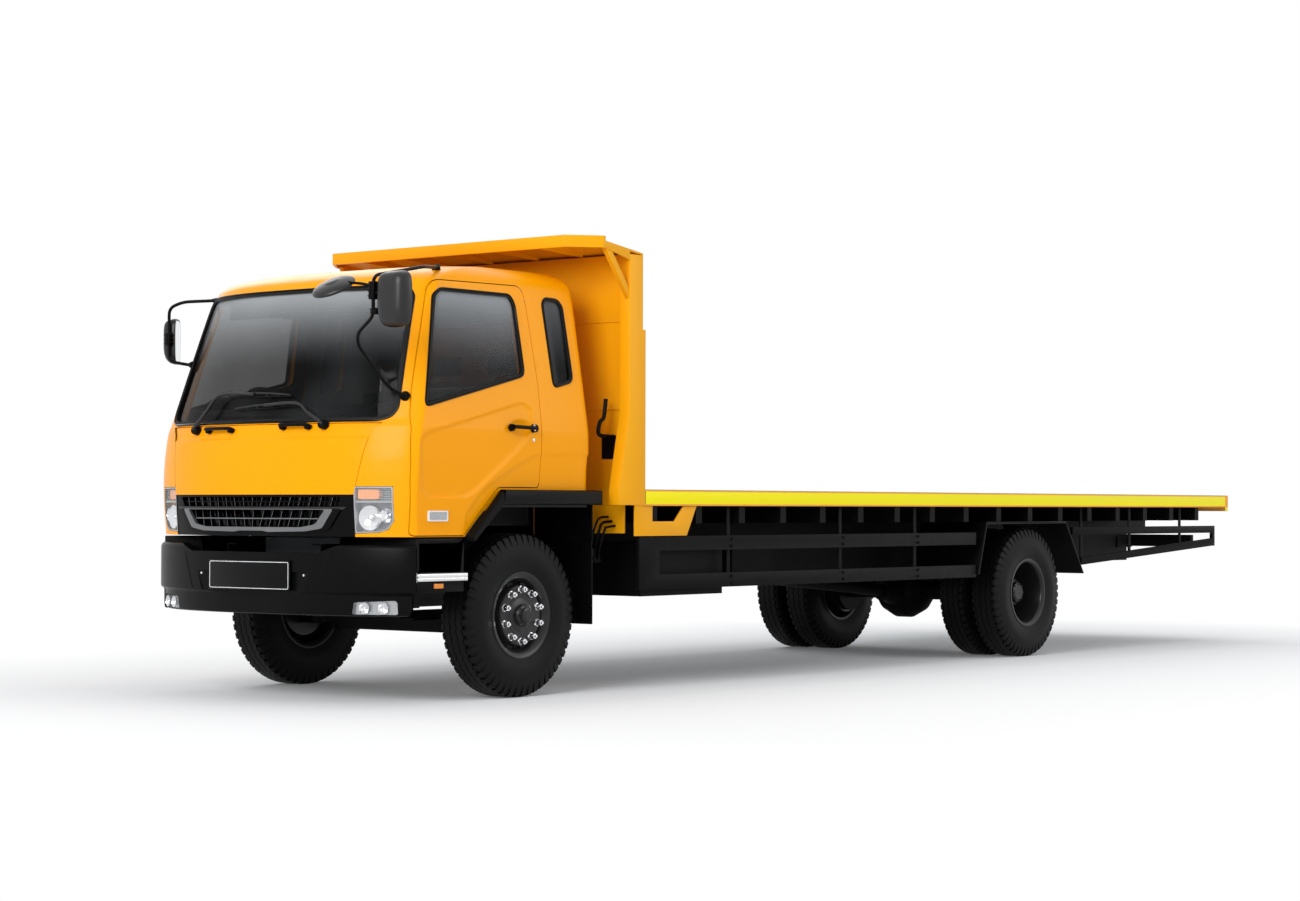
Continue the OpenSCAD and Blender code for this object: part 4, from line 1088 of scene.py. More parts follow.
    def frame_rubber(self, name: str, outline: Outline, first: int, last: int) -> bpy.types.Object:
        """The black rubber round a side window, which stands just proud of the skin."""
        slab = painted(self.form.slab(first, last, 3.4, 6.8, -0.003, 0.022, name), Look.RUBBER)
        soft = rounded(outline, 0.05)
        ring = boolean(slab, self.side_cut(soft, 0.004, both=False), "INTERSECT")
        ring = boolean(ring, self.side_cut(soft, -self.rubber, both=False), "DIFFERENCE")
        path = [self.form.side_point(p.x, p.y, 0.003) for p in dense(offset_outline(soft, -0.004))]
        lip = self.shop.strip("lip", path, 0.006, Look.GLOSS)
        return smooth_by_angle(join(name, [smooth_by_angle(ring, 30), lip]), 40)

    def handle_piece(self) -> bpy.types.Object:
        """The left door's pull handle with its end bosses and the lock."""
        def at(x: float, z: float, lift: float) -> Vector:
            """A point off the door's skin."""
            return self.form.side_point(x, z, lift)
        bar = self.shop.strip("bar", [at(0.19 - i * 0.0195, 1.733 - i * 0.0004, 0.03) for i in range(12)], 0.0125,
                              Look.PLASTIC, closed=False, sides=12)
        ends = [self.knob(at(x, 1.73, 0.012), r, Look.PLASTIC) for x, r in ((0.188, 0.026), (-0.03, 0.03))]
        shine = [self.knob(at(x, z, 0.034), r, Look.CHROME) for x, z, r in ((-0.004, 1.744, 0.007),
                                                                           (-0.006, 1.716, 0.006))]
        lock = self.knob(at(-0.024, 1.657, 0.002), 0.013, Look.CHROME)
        return smooth_by_angle(join("door_handle", [bar, *ends, *shine, lock]), 50)

    def knob(self, centre: Vector, radius: float, look: Look) -> bpy.types.Object:
        """A round boss whose axis points out of the side."""
        bm = bmesh.new()
        cone(bm, radius, radius * 0.8, radius * 1.2, 24)
        bmesh.ops.bevel(bm, geom=[e for e in bm.edges if e.calc_face_angle(0) > 1], offset=radius * 0.2, segments=2,
                        affect="EDGES")
        moved(bm, turned(-90, "X", centre))
        return smooth_by_angle(from_bmesh(bm, "knob", look), 40)

    def fixed_glass(self) -> None:
        """The windscreen, quarter panes and rear pane with their rubbers."""
        screen = self.form.slab(0, 33, 3.6, 5.4, self.glass_depth, self.glass_thickness, "screen", both=True)
        screen = boolean(painted(screen, Look.SCREEN), self.front_cut(rounded(WINDSCREEN, 0.05), 0.6, 1.6, -0.0005),
                         "INTERSECT")
        quarter = self.pane("quarter", QUARTER_WINDOW, SIDE_START, QUARTER_END, Look.DARK_PANE)
        rear = block((self.form.axle_x - 0.615, -0.56, 2.05), (self.form.axle_x - 0.609, 0.56, 2.48), "rear",
                     Look.PANE)
        made = join("cab_panes", [smooth_by_angle(screen), mirrored(quarter, "other"), quarter, rear])
        self.shop.fit(made, "cab", "window_glass", "cab_glass")
        self.rubbers()

    def rubbers(self) -> None:
        """The black rubbers of the fixed windows."""
        slab = painted(self.form.slab(0, 33, 3.5, 5.8, -0.003, 0.024, "screen_rubber", both=True), Look.RUBBER)
        soft = rounded(WINDSCREEN, 0.05)
        ring = boolean(slab, self.front_cut(soft, 0.6, 1.6, 0.008), "INTERSECT")
        ring = boolean(ring, self.front_cut(soft, 0.6, 1.6, -0.02), "DIFFERENCE")
        path = dense(offset_outline(soft, 0.002))
        lip = self.shop.strip("lip", [self.form.front_point(p.x, p.y, 0.004) for p in path], 0.006, Look.GLOSS)
        quarter = self.frame_rubber("quarter_rubber", QUARTER_WINDOW, SIDE_START, QUARTER_END)
        back = [Vector((self.form.axle_x - 0.632, p.x, p.y)) for p in dense(rounded(REAR_WINDOW, 0.08))]
        rear = self.shop.strip("rear_rubber", back, 0.014, Look.RUBBER)
        parts = [smooth_by_angle(ring), lip, mirrored(quarter, "other"), quarter, rear]
        self.shop.close("window_rubbers", parts, 40, "cab", "black_plastic")

    def build(self) -> None:
        """Builds every panel and pane."""
        self.shell()
        self.front_panel()
        self.door()
        self.fixed_glass()


@dataclass
class FrontEnd:
    """The grille, headlamps, bumper, marker lamps, wipers and grab handles."""

    shop: Workshop
    form: CabForm
    skin: CabSkin
    bumper_row: tuple = (0.0, 1.36, 1.165, 0.0)
    bumper_profile: tuple = (
        (0.06, 0.552), (0.04, 0.552), (0.03, 0.558), (0.026, 0.572), (0.023, 0.6), (0.022, 0.676),
        (0.012, 0.69), (0.003, 0.696), (0.0, 0.708), (0.0, 0.962), (0.003, 0.976), (0.01, 0.986),
        (0.022, 0.99), (0.06, 0.99))
    recess: tuple = ((-0.45, 0.668), (-0.515, 0.818), (0.515, 0.818), (0.45, 0.668))
    top_notch: tuple = ((-0.72, 1.05), (-0.72, 0.991), (-0.575, 0.94), (0.575, 0.94), (0.72, 0.991),
                        (0.72, 1.05))
    fog: tuple = ((0.79, 0.562), (1.05, 0.562), (1.06, 0.572), (1.06, 0.638), (1.048, 0.652), (0.8, 0.64))
    plate: tuple = (0.37, 0.7, 0.89)

    def slab_ring(self, name: str, outer: Outline, inner: Optional[Outline], inset: float, thickness: float,
                  look: Look, soft: float = 0.02, span: tuple = (0, 28, 0.0, 2.2)) -> bpy.types.Object:
        """A piece of the front skin between two outlines, on both sides where its span starts in the middle."""
        slab = self.form.slab(*span, inset, thickness, name, both=span[0] == 0)
        made = boolean(painted(slab, look), self.skin.front_cut(rounded(outer, soft), 0.8, 1.7), "INTERSECT")
        if inner:
            made = boolean(made, self.skin.front_cut(rounded(inner, soft), 0.8, 1.7), "DIFFERENCE")
        return smooth_by_angle(made, 30)

    def grille(self) -> None:
        """The black grille: its frame, U-shaped moulding, bars and slanted fins."""
        frame = self.slab_ring("frame", GRILLE, UPPER_SLOT, 0.004, 0.03, Look.PLASTIC, 0.004)
        frame = boolean(frame, self.skin.front_cut(rounded(LOWER_SLOT, 0.03), 0.8, 1.7), "DIFFERENCE")
        back = self.slab_ring("back", [(-0.8, 1.06), (0.8, 1.06), (0.8, 1.294), (-0.8, 1.294)], None, 0.052, 0.003,
                              Look.GLOSS, 0.004)
        mould = self.slab_ring("mould", MOULDING, [(y * 0.985, z) for y, z in LOWER_SLOT], -0.01, 0.03, Look.PLASTIC)
        # Painted highlight: the satin band inside the U moulding stands for the sheen along its dark gloss.
        crescent = self.slab_ring("crescent", [(y * 0.93, 1.204 - (1.204 - z) * 0.93) for y, z in MOULDING],
                                  [(y * 0.975, z + 0.003) for y, z in LOWER_SLOT], -0.013, 0.02, Look.SATIN)
        lid = self.slab_ring("lid", [(-0.77, 1.224), (-0.745, 1.206), (0.745, 1.206), (0.77, 1.224)], None, -0.006,
                             0.02, Look.MIRROR, 0.006)
        bar = self.shop.strip("bar", [self.form.front_point(y / 50, 1.15, -0.006) for y in range(-28, 29)], 0.0045,
                              Look.SATIN, closed=False)
        thin = self.shop.strip("thin", [self.form.front_point(y / 50, 1.256, -0.012) for y in range(-34, 35)], 0.0035,
                               Look.PLASTIC, closed=False)
        parts = [frame, back, mould, crescent, lid, bar, thin, *self.fins(1.256, 0.058, 0.7, 0.082),
                 *self.fins(1.15, 0.112, 0.58, 0.082)]
        self.shop.close("grille_front", parts, 35, "cab", "black_plastic", "grille")

    def fins(self, z: float, height: float, reach: float, pitch: float) -> list[bpy.types.Object]:
        """A row of slanted fins behind the grille's bars, with satin strips on their fronts as a painted highlight."""
        places, edges = [], []
        count = int(reach / pitch)
        for i in range(-count, count + 1):
            turn = (math.radians(-16 if i > 0 else 16) if i else 0.0, math.radians(-6), 0.0)
            places.append((self.form.front_point(i * pitch, z, -0.03), turn))
            edges.append((self.form.front_point(i * pitch, z, -0.0145), turn))
        shape = block((-0.016, -0.002, -height / 2 - 0.01), (0.016, 0.002, height / 2 + 0.01), "fin", Look.PLASTIC,
                      0.0008)
        # Painted highlight: thin satin strips stand for the sheen on the black fins' front edges.
        edge = block((-0.0015, -0.0013, -height / 2), (0.0015, 0.0013, height / 2), "edge", Look.SATIN, 0.0005)
        return [self.shop.spread("fins", shape, places, Look.PLASTIC),
                self.shop.spread("fin_edges", edge, edges, Look.SATIN)]

    def headlamps(self) -> None:
        """Both headlamps: bowl, amber indicator, housing, rim and clear lens."""
        parts, ring = [], partial(self.slab_ring, soft=0.01, span=(12, SIDE_START, 0.0, 1.6))
        body = offset_outline(LAMP, -0.0015)
        parts.append(ring("housing", body, offset_outline(LAMP, -0.01), 0.001, 0.05, Look.REFLECTOR))
        parts.append(ring("shelf", [(0.815, 1.262), (0.815, 1.25), (1.044, 1.25), (1.044, 1.262)], None, 0.004, 0.045,
                          Look.REFLECTOR, soft=0.003))
        parts.append(ring("back", offset_outline(LAMP, -0.004), None, 0.046, 0.006, Look.SATIN))
        parts.append(ring("indicator", [(0.83, 1.272), (0.955, 1.272), (0.962, 1.3), (0.955, 1.332), (0.83, 1.332)],
                          None, 0.012, 0.02, Look.AMBER))
        for y, z, r in ((0.905, 1.155, 0.078), (1.0, 1.17, 0.045)):
            parts.append(self.bowl(self.form.front_point(y, z, -0.016), r))
        for i in range(5):
            line = [self.form.front_point(0.965 + k * 0.013, 1.275 + i * 0.014, -0.012) for k in range(6)]
            parts.append(self.shop.strip("rib", line, 0.003, Look.REFLECTOR, closed=False, sides=6))
        solid = join("lamp_body", parts)
        lens = ring("lens", body, None, 0.0, 0.0035, Look.CLEAR)
        for name, one in (("headlamp_bodies", solid), ("headlamp_lenses", lens)):
            self.shop.close(name, [one, mirrored(one, "other")], 35, "cab", "lamp_lens",
                            *(("headlamps",) if "lens" in name else ()))

    def bowl(self, centre: Vector, radius: float) -> bpy.types.Object:
        """A faceted reflector bowl with its bulb, open to the front."""
        bm = bmesh.new()
        rings = []
        for k in range(7):
            r = radius * k / 6
            depth = -0.028 * (1 - (k / 6) ** 2)
            rings.append([bm.verts.new((depth, c, s)) for _, c, s in circle(28, r)])
        bridge(bm, rings)
        bmesh.ops.remove_doubles(bm, verts=bm.verts, dist=1e-6)
        bmesh.ops.solidify(bm, geom=bm.faces[:], thickness=0.002)
        bmesh.ops.create_uvsphere(bm, u_segments=16, v_segments=10, radius=radius * 0.22,
                                  matrix=Matrix.Translation((-0.012, 0, 0)))
        moved(bm, turned(18, "Z", centre))
        return smooth_by_angle(from_bmesh(bm, "bowl", Look.CHROME), 12)

    def bumper(self) -> None:
        """The black front bumper with its chin, plate recess and fog lamp openings."""
        stations = [s for s in self.form.stations(nose=40) if s[0] in ("nose", "nose_angle")]
        around = [(s, -1) for s in reversed(stations[1:])] + [(s, 1) for s in stations]
        bm = bmesh.new()
        lines = []
        for s, sign in around:
            line = []
            for inset, z in self.bumper_profile:
                x, y = self.form.plan(s, self.bumper_row, inset)
                line.append(bm.verts.new((max(x, 1.062) + self.form.axle_x, sign * y, z)))
            lines.append(line)
        n = len(self.bumper_profile)
        for a, b in zip(lines, lines[1:]):
            for k in range(n):
                bm.faces.new((a[k], b[k], b[(k + 1) % n], a[(k + 1) % n]))
        bm.faces.new(lines[0])
        bm.faces.new(lines[-1][::-1])
        bar = from_bmesh(bm, "bumper_bar", Look.PLASTIC)
        cut = self.skin.front_cut
        for tool in (cut(self.top_notch, 0.9, 1.6), cut(rounded(self.recess, 0.02), 1.332, 1.6),
                     join("cut", [cut(rounded(self.fog, 0.012), 1.0, 1.6),
                                  cut([(-y, z) for y, z in rounded(self.fog, 0.012)], 1.0, 1.6)])):
            bar = boolean(bar, tool, "DIFFERENCE")
        bar = smooth_by_angle(bar, 25)
        ax = self.form.axle_x
        half, low, high = self.plate
        board = block((ax + 1.35, -half, low), (ax + 1.3648, half, high), "board", Look.GLOSS, 0.004)
        border = self.shop.strip("border", [Vector((ax + 1.365, y, z)) for y, z in rounded(
            [(-half + 0.012, low + 0.012), (half - 0.012, low + 0.012), (half - 0.012, high - 0.012),
             (-half + 0.012, high - 0.012)], 0.012)], 0.0024, Look.WHITE, sides=6)
        seams = [self.shop.strip("crease", [self.bumper_point(side * (0.66 - 0.09 * k / 8), 0.935 - 0.23 * k / 8)
                                            for k in range(9)], 0.0022, Look.GLOSS, closed=False, sides=6)
                 for side in (-1, 1)]
        bolts = self.shop.spread("bolts", self.hex_head(0.009), [
            (Vector((ax + 1.334, s * 0.468, 0.8)), (0, math.radians(90), 0)) for s in (-1, 1)], Look.CHROME)
        brackets = [block((ax + 1.18, s * 0.36 - 0.03, 0.75), (ax + 1.302, s * 0.36 + 0.03, 0.87), "bracket",
                          Look.CHASSIS, 0.004) for s in (-1, 1)]
        self.shop.close("bumper_front", [bar, board, border, bolts, *seams, *brackets], 30, "chassis", "black_plastic",
                        "bumper")
        self.fog_lamps()

    def bumper_point(self, y: float, z: float, lift: float = 0.0005) -> Vector:
        """A point just off the bumper's face."""
        _, xf, hw, _ = self.bumper_row
        s = (abs(y) / hw) ** (1 / self.form.side_power)
        return Vector((self.form.axle_x + xf + lift - self.form.nose_depth
                       * (1 - math.sqrt(1 - s * s) ** self.form.nose_power), y, z))

    def hex_head(self, radius: float) -> bpy.types.Object:
        """A small hexagon bolt head whose axis is upright."""
        bm = bmesh.new()
        cone(bm, radius, radius * 0.92, radius, 6)
        return from_bmesh(bm, "hex_head")

    def fog_lamps(self) -> None:
        """The fog lamps with clear lenses, and the amber side and red tail lamps."""
        parts = []
        for sign in (1, -1):
            for inset, depth, look in ((0.026, 0.004, Look.CLEAR), (0.05, 0.006, Look.REFLECTOR)):
                stations, bm, sheets = self.form.stations(nose=40)[20:52], bmesh.new(), []
                for d in (0.0, depth):
                    plans = [self.form.plan(s, self.bumper_row, inset + d) for s in stations]
                    sheets.append([[bm.verts.new((max(x, 1.07) + self.form.axle_x, y, z)) for x, y in plans]
                                   for z in (0.563, 0.583, 0.603, 0.623, 0.643, 0.653)])
                close_grid(bm, *sheets)
                bmesh.ops.remove_doubles(bm, verts=bm.verts, dist=1e-5)
                lens = from_bmesh(bm, "fog", look)
                lens = boolean(lens, self.skin.front_cut(rounded(offset_outline(self.fog, -0.002), 0.012), 1.0, 1.6),
                               "INTERSECT")
                parts.append(lens if sign > 0 else mirrored(lens, "fog", keep=False))
        ax = self.form.axle_x
        for sign in (1, -1):
            low, high = sorted((sign * 1.1555, sign * 1.166))
            parts.append(block((ax + 0.82, low, 0.722), (ax + 0.9, high, 0.752), "side_lamp", Look.AMBER, 0.003))
        for y in (0.87, 0.985):
            one = self.bowl(self.bumper_point(y, 0.603, -0.028), 0.036)
            parts += [one, mirrored(one, "bowl")]
        parts += self.tail_lamps()
        self.shop.close("running_lamps", parts, 35, "chassis", "lamp_lens", "chassis_lamps")

    def tail_lamps(self) -> list[bpy.types.Object]:
        """The tail lamps: three lenses on each side's housing."""
        low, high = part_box("chassis_lamps")
        made = []
        for sign in (1, -1):
            rows = ((0.56, 0.655, Look.CLEAR), (0.66, 0.755, Look.AMBER), (0.76, 0.86, Look.RED))
            for y0, y1, look in rows:
                a, b = sorted((sign * y0, sign * y1))
                made.append(block((low.x, a, 0.884), (low.x + 0.012, b, 0.966), "tail", look, 0.004))
            a, b = sorted((sign * 0.56, sign * 0.86))
            made.append(block((low.x + 0.01, a, 0.88), (low.x + 0.02, b, 0.97), "box", Look.PLASTIC, 0.002))
        return made

    def marker_lamps(self) -> None:
        """The small clear marker lamp with its white frame on each door."""
        outline = ((0.95, 1.202), (0.774, 1.202), (0.774, 1.136), (0.95, 1.136))
        for side in Side:
            parts = []
            for name, inset, depth, look, outer, inner in (
                    ("marker", -0.01, 0.018, Look.WHITE, rounded(outline, 0.008),
                     rounded(offset_outline(outline, -0.01), 0.006)),
                    ("lens", -0.014, 0.006, Look.CLEAR, rounded(offset_outline(outline, -0.009), 0.01), None),
                    ("glow", -0.007, 0.006, Look.REFLECTOR, offset_outline(outline, -0.012), None)):
                part = self.form.slab(NOSE_STATIONS, SIDE_START + 60, 0.0, 1.2, inset, depth, name, side_steps=112)
                part = boolean(painted(part, look), self.skin.side_cut(outer, both=False), "INTERSECT")
                parts.append(boolean(part, self.skin.side_cut(inner, both=False), "DIFFERENCE") if inner else part)
            made = smooth_by_angle(join("marker_lamp_" + side.word, parts), 35)
            if side is Side.RIGHT:
                made = mirrored(made, "marker_lamp_right_turned", keep=False)
            self.shop.fit(made, f"door_{side.word}", "lamp_lens")

    def wipers(self) -> None:
        """Both wipers with their arms, trussed blades and pivots, and the two grab handles below the glass."""
        f = self.form.front_point
        parts = []
        for pivot, elbow, first, last in (((-0.6, 1.712), (-0.38, 1.93), (-0.33, 1.934), (0.25, 1.921)),
                                          ((0.575, 1.728), (0.33, 1.862), (0.3, 1.861), (-0.228, 1.842))):
            arm = smooth_path([f(*pivot, 0.03), f((pivot[0] + elbow[0]) / 2, (pivot[1] + elbow[1]) / 2, 0.04),
                               f(*elbow, 0.034), f((elbow[0] + last[0]) / 2, (elbow[1] + last[1]) / 2 + 0.004, 0.026)])
            parts.append(self.shop.strip("arm", arm, 0.0115, Look.MIRROR, closed=False))
            spine = [f(first[0] + (last[0] - first[0]) * k / 16, first[1] + (last[1] - first[1]) * k / 16 + 0.012
                       * math.sin(math.pi * k / 16), 0.018) for k in range(17)]
            blade = [f(first[0] + (last[0] - first[0]) * k / 16, first[1] + (last[1] - first[1]) * k / 16 - 0.006,
                       0.004) for k in range(17)]
            parts.append(self.shop.strip("spine", spine, 0.0058, Look.MIRROR, closed=False, sides=6))
            parts.append(self.shop.strip("blade", blade, 0.0045, Look.RUBBER, closed=False, sides=6))
            for k in (0, 3, 6, 10, 13, 16):
                parts.append(self.shop.strip("strut", [spine[k], blade[k]], 0.0045, Look.MIRROR, closed=False, sides=6))
            for place, r in ((pivot, 0.027), ((pivot[0] * 0.96 + elbow[0] * 0.04, pivot[1]), 0.034)):
                parts.append(self.front_boss(f(*place, 0.016), r))
        for y0, y1, z in ((-0.47, -0.205, 1.708), (0.225, 0.47, 1.72)):
            line = [f(y0, z, 0.004), f(y0 + 0.01, z + 0.004, 0.03)] + [
                f(y0 + 0.02 + (y1 - y0 - 0.04) * k / 8, z + 0.004, 0.034) for k in range(9)] + [
                f(y1 - 0.01, z + 0.004, 0.03), f(y1, z, 0.004)]
            parts.append(self.shop.strip("grab", line, 0.0115, Look.PLASTIC, closed=False, sides=10))
            for y in (y0 + 0.02, y1 - 0.02):
                parts.append(self.front_boss(f(y, z - 0.004, 0.01), 0.018))
        self.shop.close("wiper_set", parts, 45, "cab", "black_plastic", "wipers")

    def front_boss(self, centre: Vector, radius: float) -> bpy.types.Object:
        """A round boss whose axis points forward."""
        bm = bmesh.new()
        cone(bm, radius, radius * 0.75, 0.036, 20)
        moved(bm, turned(90, "Y", centre))
        return from_bmesh(bm, "boss", Look.PLASTIC)

    def build(self) -> None:
        """Builds the front end."""
        self.grille()
        self.headlamps()
        self.bumper()
        self.marker_lamps()
        self.wipers()


@dataclass
class RollingGear:
    """The tyres with their tread, and the wheels with their rings and nuts."""

    shop: Workshop
    front: Point
    rear: Point
    radius: float = 0.528
    width: float = 0.26
    rim: float = 0.254
    tread_depth: float = 0.016
    pitches: int = 52
    nuts: int = 10
    stud_circle: float = 0.335

    def carcass(self, centre: Point, y: float) -> bpy.types.Object:
        """One tyre's body: bead, sidewall rings, shoulder and the groove floor of the tread."""
        hw, r0, top = self.width / 2, self.rim, self.radius - self.tread_depth
        half = [(r0 + 0.0, 0.8), (r0 + 0.004, 0.86), (r0 + 0.016, 0.875), (r0 + 0.022, 0.865), (r0 + 0.034, 0.89),
                (r0 + 0.06, 0.945), (r0 + 0.078, 0.968), (r0 + 0.082, 0.978), (r0 + 0.088, 0.978),
                (r0 + 0.092, 0.985), (r0 + 0.12, 1.0), (r0 + 0.146, 0.996), (r0 + 0.15, 0.99), (r0 + 0.186, 0.955),
                (r0 + 0.196, 0.935), (r0 + 0.206, 0.915), (r0 + 0.222, 0.88), (r0 + 0.24, 0.815), (top, 0.77)]
        outer = [(r, w * hw) for r, w in half]
        inner = [(r0 + 0.012, 0.6), (r0 + 0.01, 0.7)]
        points = ([(r, w * hw) for r, w in inner] + outer + [(top, 0.35 * hw), (top, -0.35 * hw)]
                  + [(r, -w) for r, w in reversed(outer)] + [(r, -w * hw) for r, w in reversed(inner)])
        return lathe(points, y, centre, "carcass", Look.TYRE, closed=True)

    def tread(self, centre: Point, y: float) -> list[bpy.types.Object]:
        """Three waved ribs and the shoulder lugs, which a recipe sets round the tyre."""
        made, hw = [], self.width / 2
        step = 2 * math.pi / self.pitches
        r1, r0 = self.radius, self.radius - self.tread_depth - 0.002
        for low, high in ((-0.57, -0.215), (-0.175, 0.175), (0.215, 0.57)):
            made.append(self.rib(centre, y, low * hw, high * hw, r0, r1, step))
        for sign in (1, -1):
            bm = bmesh.new()
            section = [(0.6, r0), (0.6, r1 - 0.0005), (0.7, r1 - 0.002), (0.795, r1 - 0.007), (0.86, r1 - 0.024),
                       (0.905, r1 - 0.046), (0.944, r1 - 0.074), (0.915, r1 - 0.078), (0.8, r0 - 0.03)]
            rings = []
            for a in (-0.3 * step, 0.3 * step):
                rings.append([bm.verts.new((r * math.sin(a), sign * w * hw, r * math.cos(a))) for w, r in section])
            n = len(section)
            for k in range(n):
                bm.faces.new((rings[0][k], rings[1][k], rings[1][(k + 1) % n], rings[0][(k + 1) % n]))
            bm.faces.new(rings[0])
            bm.faces.new(rings[1][::-1])
            lug = from_bmesh(bm, "lug")
            places = [((centre[0], y, centre[2]), (0.0, step * (i + (0.5 if sign > 0 else 0)), 0.0))
                      for i in range(self.pitches)]
            made.append(self.shop.spread("lugs", lug, places, Look.TYRE))
        return made

    def rib(self, centre: Point, y: float, low: float, high: float, r0: float, r1: float, step: float,
            ) -> bpy.types.Object:
        """One rib round the tyre with waved edges."""
        bm = bmesh.new()
        count = self.pitches * 4
        rings = []
        for i in range(count):
            a = step * i / 4
            shift = 0.0055 * (1, 0, -1, 0)[i % 4]
            rings.append([bm.verts.new((centre[0] + r * math.sin(a), y + w + shift, centre[2] + r * math.cos(a)))
                          for w, r in ((low, r0), (low + 0.001, r1), (high - 0.001, r1), (high, r0))])
        for i in range(count):
            a, b = rings[i], rings[(i + 1) % count]
            for k in range(4):
                bm.faces.new((a[k], b[k], b[(k + 1) % 4], a[(k + 1) % 4]))
        return smooth_by_angle(from_bmesh(bm, "rib", Look.TYRE), 25)

    def tyre(self, name: str, centre: Point, rows: Sequence[float], body: str) -> None:
        """The tyres of one wheel or one pair of twin wheels."""
        parts = []
        for y in rows:
            parts += [self.carcass(centre, y), *self.tread(centre, y)]
        self.shop.close(name + "_dressed", parts, 30, body, "tyre_rubber", name)

    def around(self, centre: Point, y: float, radius: float, count: int, phase: float = 0.0) -> list:
        """Places round an axle, each turned by its own angle."""
        return [((centre[0] + s, y, centre[2] + c), (0.0, a, 0.0)) for a, c, s in circle(count, radius, phase)]

    def disc(self, centre: Point, y: float, profile: Outline, sign: int) -> bpy.types.Object:
        """A wheel's rim and disc, turned from a profile of radius and side offset."""
        return lathe([(r, w * sign) for r, w in profile], y, centre, "disc", Look.WHEEL, closed=True)

    def nut_ring(self, centre: Point, y: float, sign: int, look: Look) -> bpy.types.Object:
        """The ring of wheel nuts with their stud ends."""
        bm = bmesh.new()
        for radius, depth, at, sides in ((0.027, 0.008, 0.004, 20), (0.0235, 0.022, 0.018, 6),
                                         (0.0195, 0.01, 0.033, 16), (0.0105, 0.014, 0.044, 12)):
            cone(bm, radius, radius * 0.88, depth, sides, turned(-90 * sign, "X") @ Matrix.Translation((0, 0, at)))
        places = self.around(centre, y, self.stud_circle / 2, self.nuts)
        return self.shop.spread("nuts", from_bmesh(bm, "nut"), places, look)

    def front_wheel(self, side: Side) -> None:
        """A front wheel: stepped rim, deep dish, raised nut ring and hub."""
        s = side.value
        y = s * 0.97
        rim = ((0.2537, 0.104), (0.276, 0.1097), (0.28, 0.116), (0.276, 0.1185), (0.262, 0.117), (0.248, 0.108),
               (0.24, 0.101), (0.236, 0.094), (0.222, 0.08), (0.216, 0.06), (0.212, 0.056), (0.205, 0.064),
               (0.197, 0.092), (0.192, 0.104), (0.186, 0.108), (0.13, 0.108), (0.126, 0.112), (0.11, 0.112),
               (0.11, 0.098), (0.186, 0.094), (0.196, 0.08), (0.206, 0.046), (0.23, 0.05), (0.242, -0.02),
               (0.242, -0.104), (0.264, -0.118), (0.276, -0.1185), (0.276, -0.1097), (0.2537, -0.104))
        hub = ((0.001, 0.176), (0.03, 0.176), (0.034, 0.172), (0.05, 0.168), (0.054, 0.15), (0.066, 0.146),
               (0.072, 0.138), (0.074, 0.118), (0.1, 0.114), (0.118, 0.108), (0.118, 0.02), (0.18, 0.01),
               (0.19, 0.0), (0.19, -0.06), (0.0352, -0.06), (0.0352, 0.105), (0.001, 0.105))
        centre = self.front
        parts = [self.disc(centre, y, rim, s), self.disc(centre, y, hub, s),
                 self.nut_ring(centre, y + s * 0.108, s, Look.CHROME), self.hub_bolts(centre, y + s * 0.146, s, 0.062),
                 *self.hand_holes(centre, y, s)]
        self.shop.close(f"wheel_{side.word}_dressed", parts, 32, f"wheel_{side.word}", "wheel_steel",
                        f"wheel_{side.word}")

    def hand_holes(self, centre: Point, y: float, sign: int) -> list[bpy.types.Object]:
        """Dark oval discs on the dish between the rim and the nuts, which paint the shade seen through the hand holes.
        """
        bm = bmesh.new()
        # Painted shade: gloss-black ovals lie on the dish in place of open holes.
        cone(bm, 0.02, 0.02, 0.004, 20, turned(-90, "X") @ Matrix.Diagonal((1.5, 0.6, 1, 1)))
        places = self.around(centre, y + sign * 0.067, 0.205, 10, 0.5)
        return [self.shop.spread("pockets", from_bmesh(bm, "pocket"), places, Look.GLOSS)]

    def hub_bolts(self, centre: Point, y: float, sign: int, radius: float) -> bpy.types.Object:
        """The ring of small bolts on a hub's flange."""
        bm = bmesh.new()
        cone(bm, 0.006, 0.0055, 0.012, 6, turned(-90 * sign, "X"))
        places = self.around(centre, y, radius, 8)
        return self.shop.spread("hub_bolts", from_bmesh(bm, "hub_bolt"), places, Look.WHEEL)

    def rear_wheels(self, side: Side) -> None:
        """A pair of twin wheels on one hub."""
        s, centre = side.value, self.rear
        profile = ((0.2537, 0.104), (0.276, 0.1097), (0.28, 0.116), (0.276, 0.1185), (0.262, 0.117), (0.248, 0.106),
                   (0.242, 0.09), (0.238, 0.02), (0.23, -0.04), (0.214, -0.09), (0.206, -0.124), (0.196, -0.132),
                   (0.11, -0.132), (0.11, -0.147), (0.2, -0.147), (0.216, -0.138), (0.226, -0.1),
                   (0.242, -0.104), (0.264, -0.118), (0.276, -0.1185), (0.276, -0.1097), (0.2537, -0.104))
        hub = ((0.001, 0.03), (0.06, 0.03), (0.066, 0.026), (0.08, 0.022), (0.084, -0.01), (0.108, -0.016),
               (0.112, -0.026), (0.112, -0.13), (0.15, -0.134), (0.15, -0.31), (0.205, -0.316), (0.205, -0.478),
               (0.0552, -0.478), (0.0552, 0.02), (0.001, 0.02))
        outer, inner = s * 1.085, s * 0.775
        parts = [self.disc(centre, outer, profile, s), self.disc(centre, inner, profile, -s),
                 self.disc(centre, outer, hub, s), self.nut_ring(centre, outer - s * 0.133, s, Look.WHEEL),
                 self.hub_bolts(centre, outer + s * 0.026, s, 0.07)]
        self.shop.close(f"wheels_{side.word}_dressed", parts, 32, f"twin_wheels_{side.word}", "wheel_steel",
                        f"wheels_{side.word}")

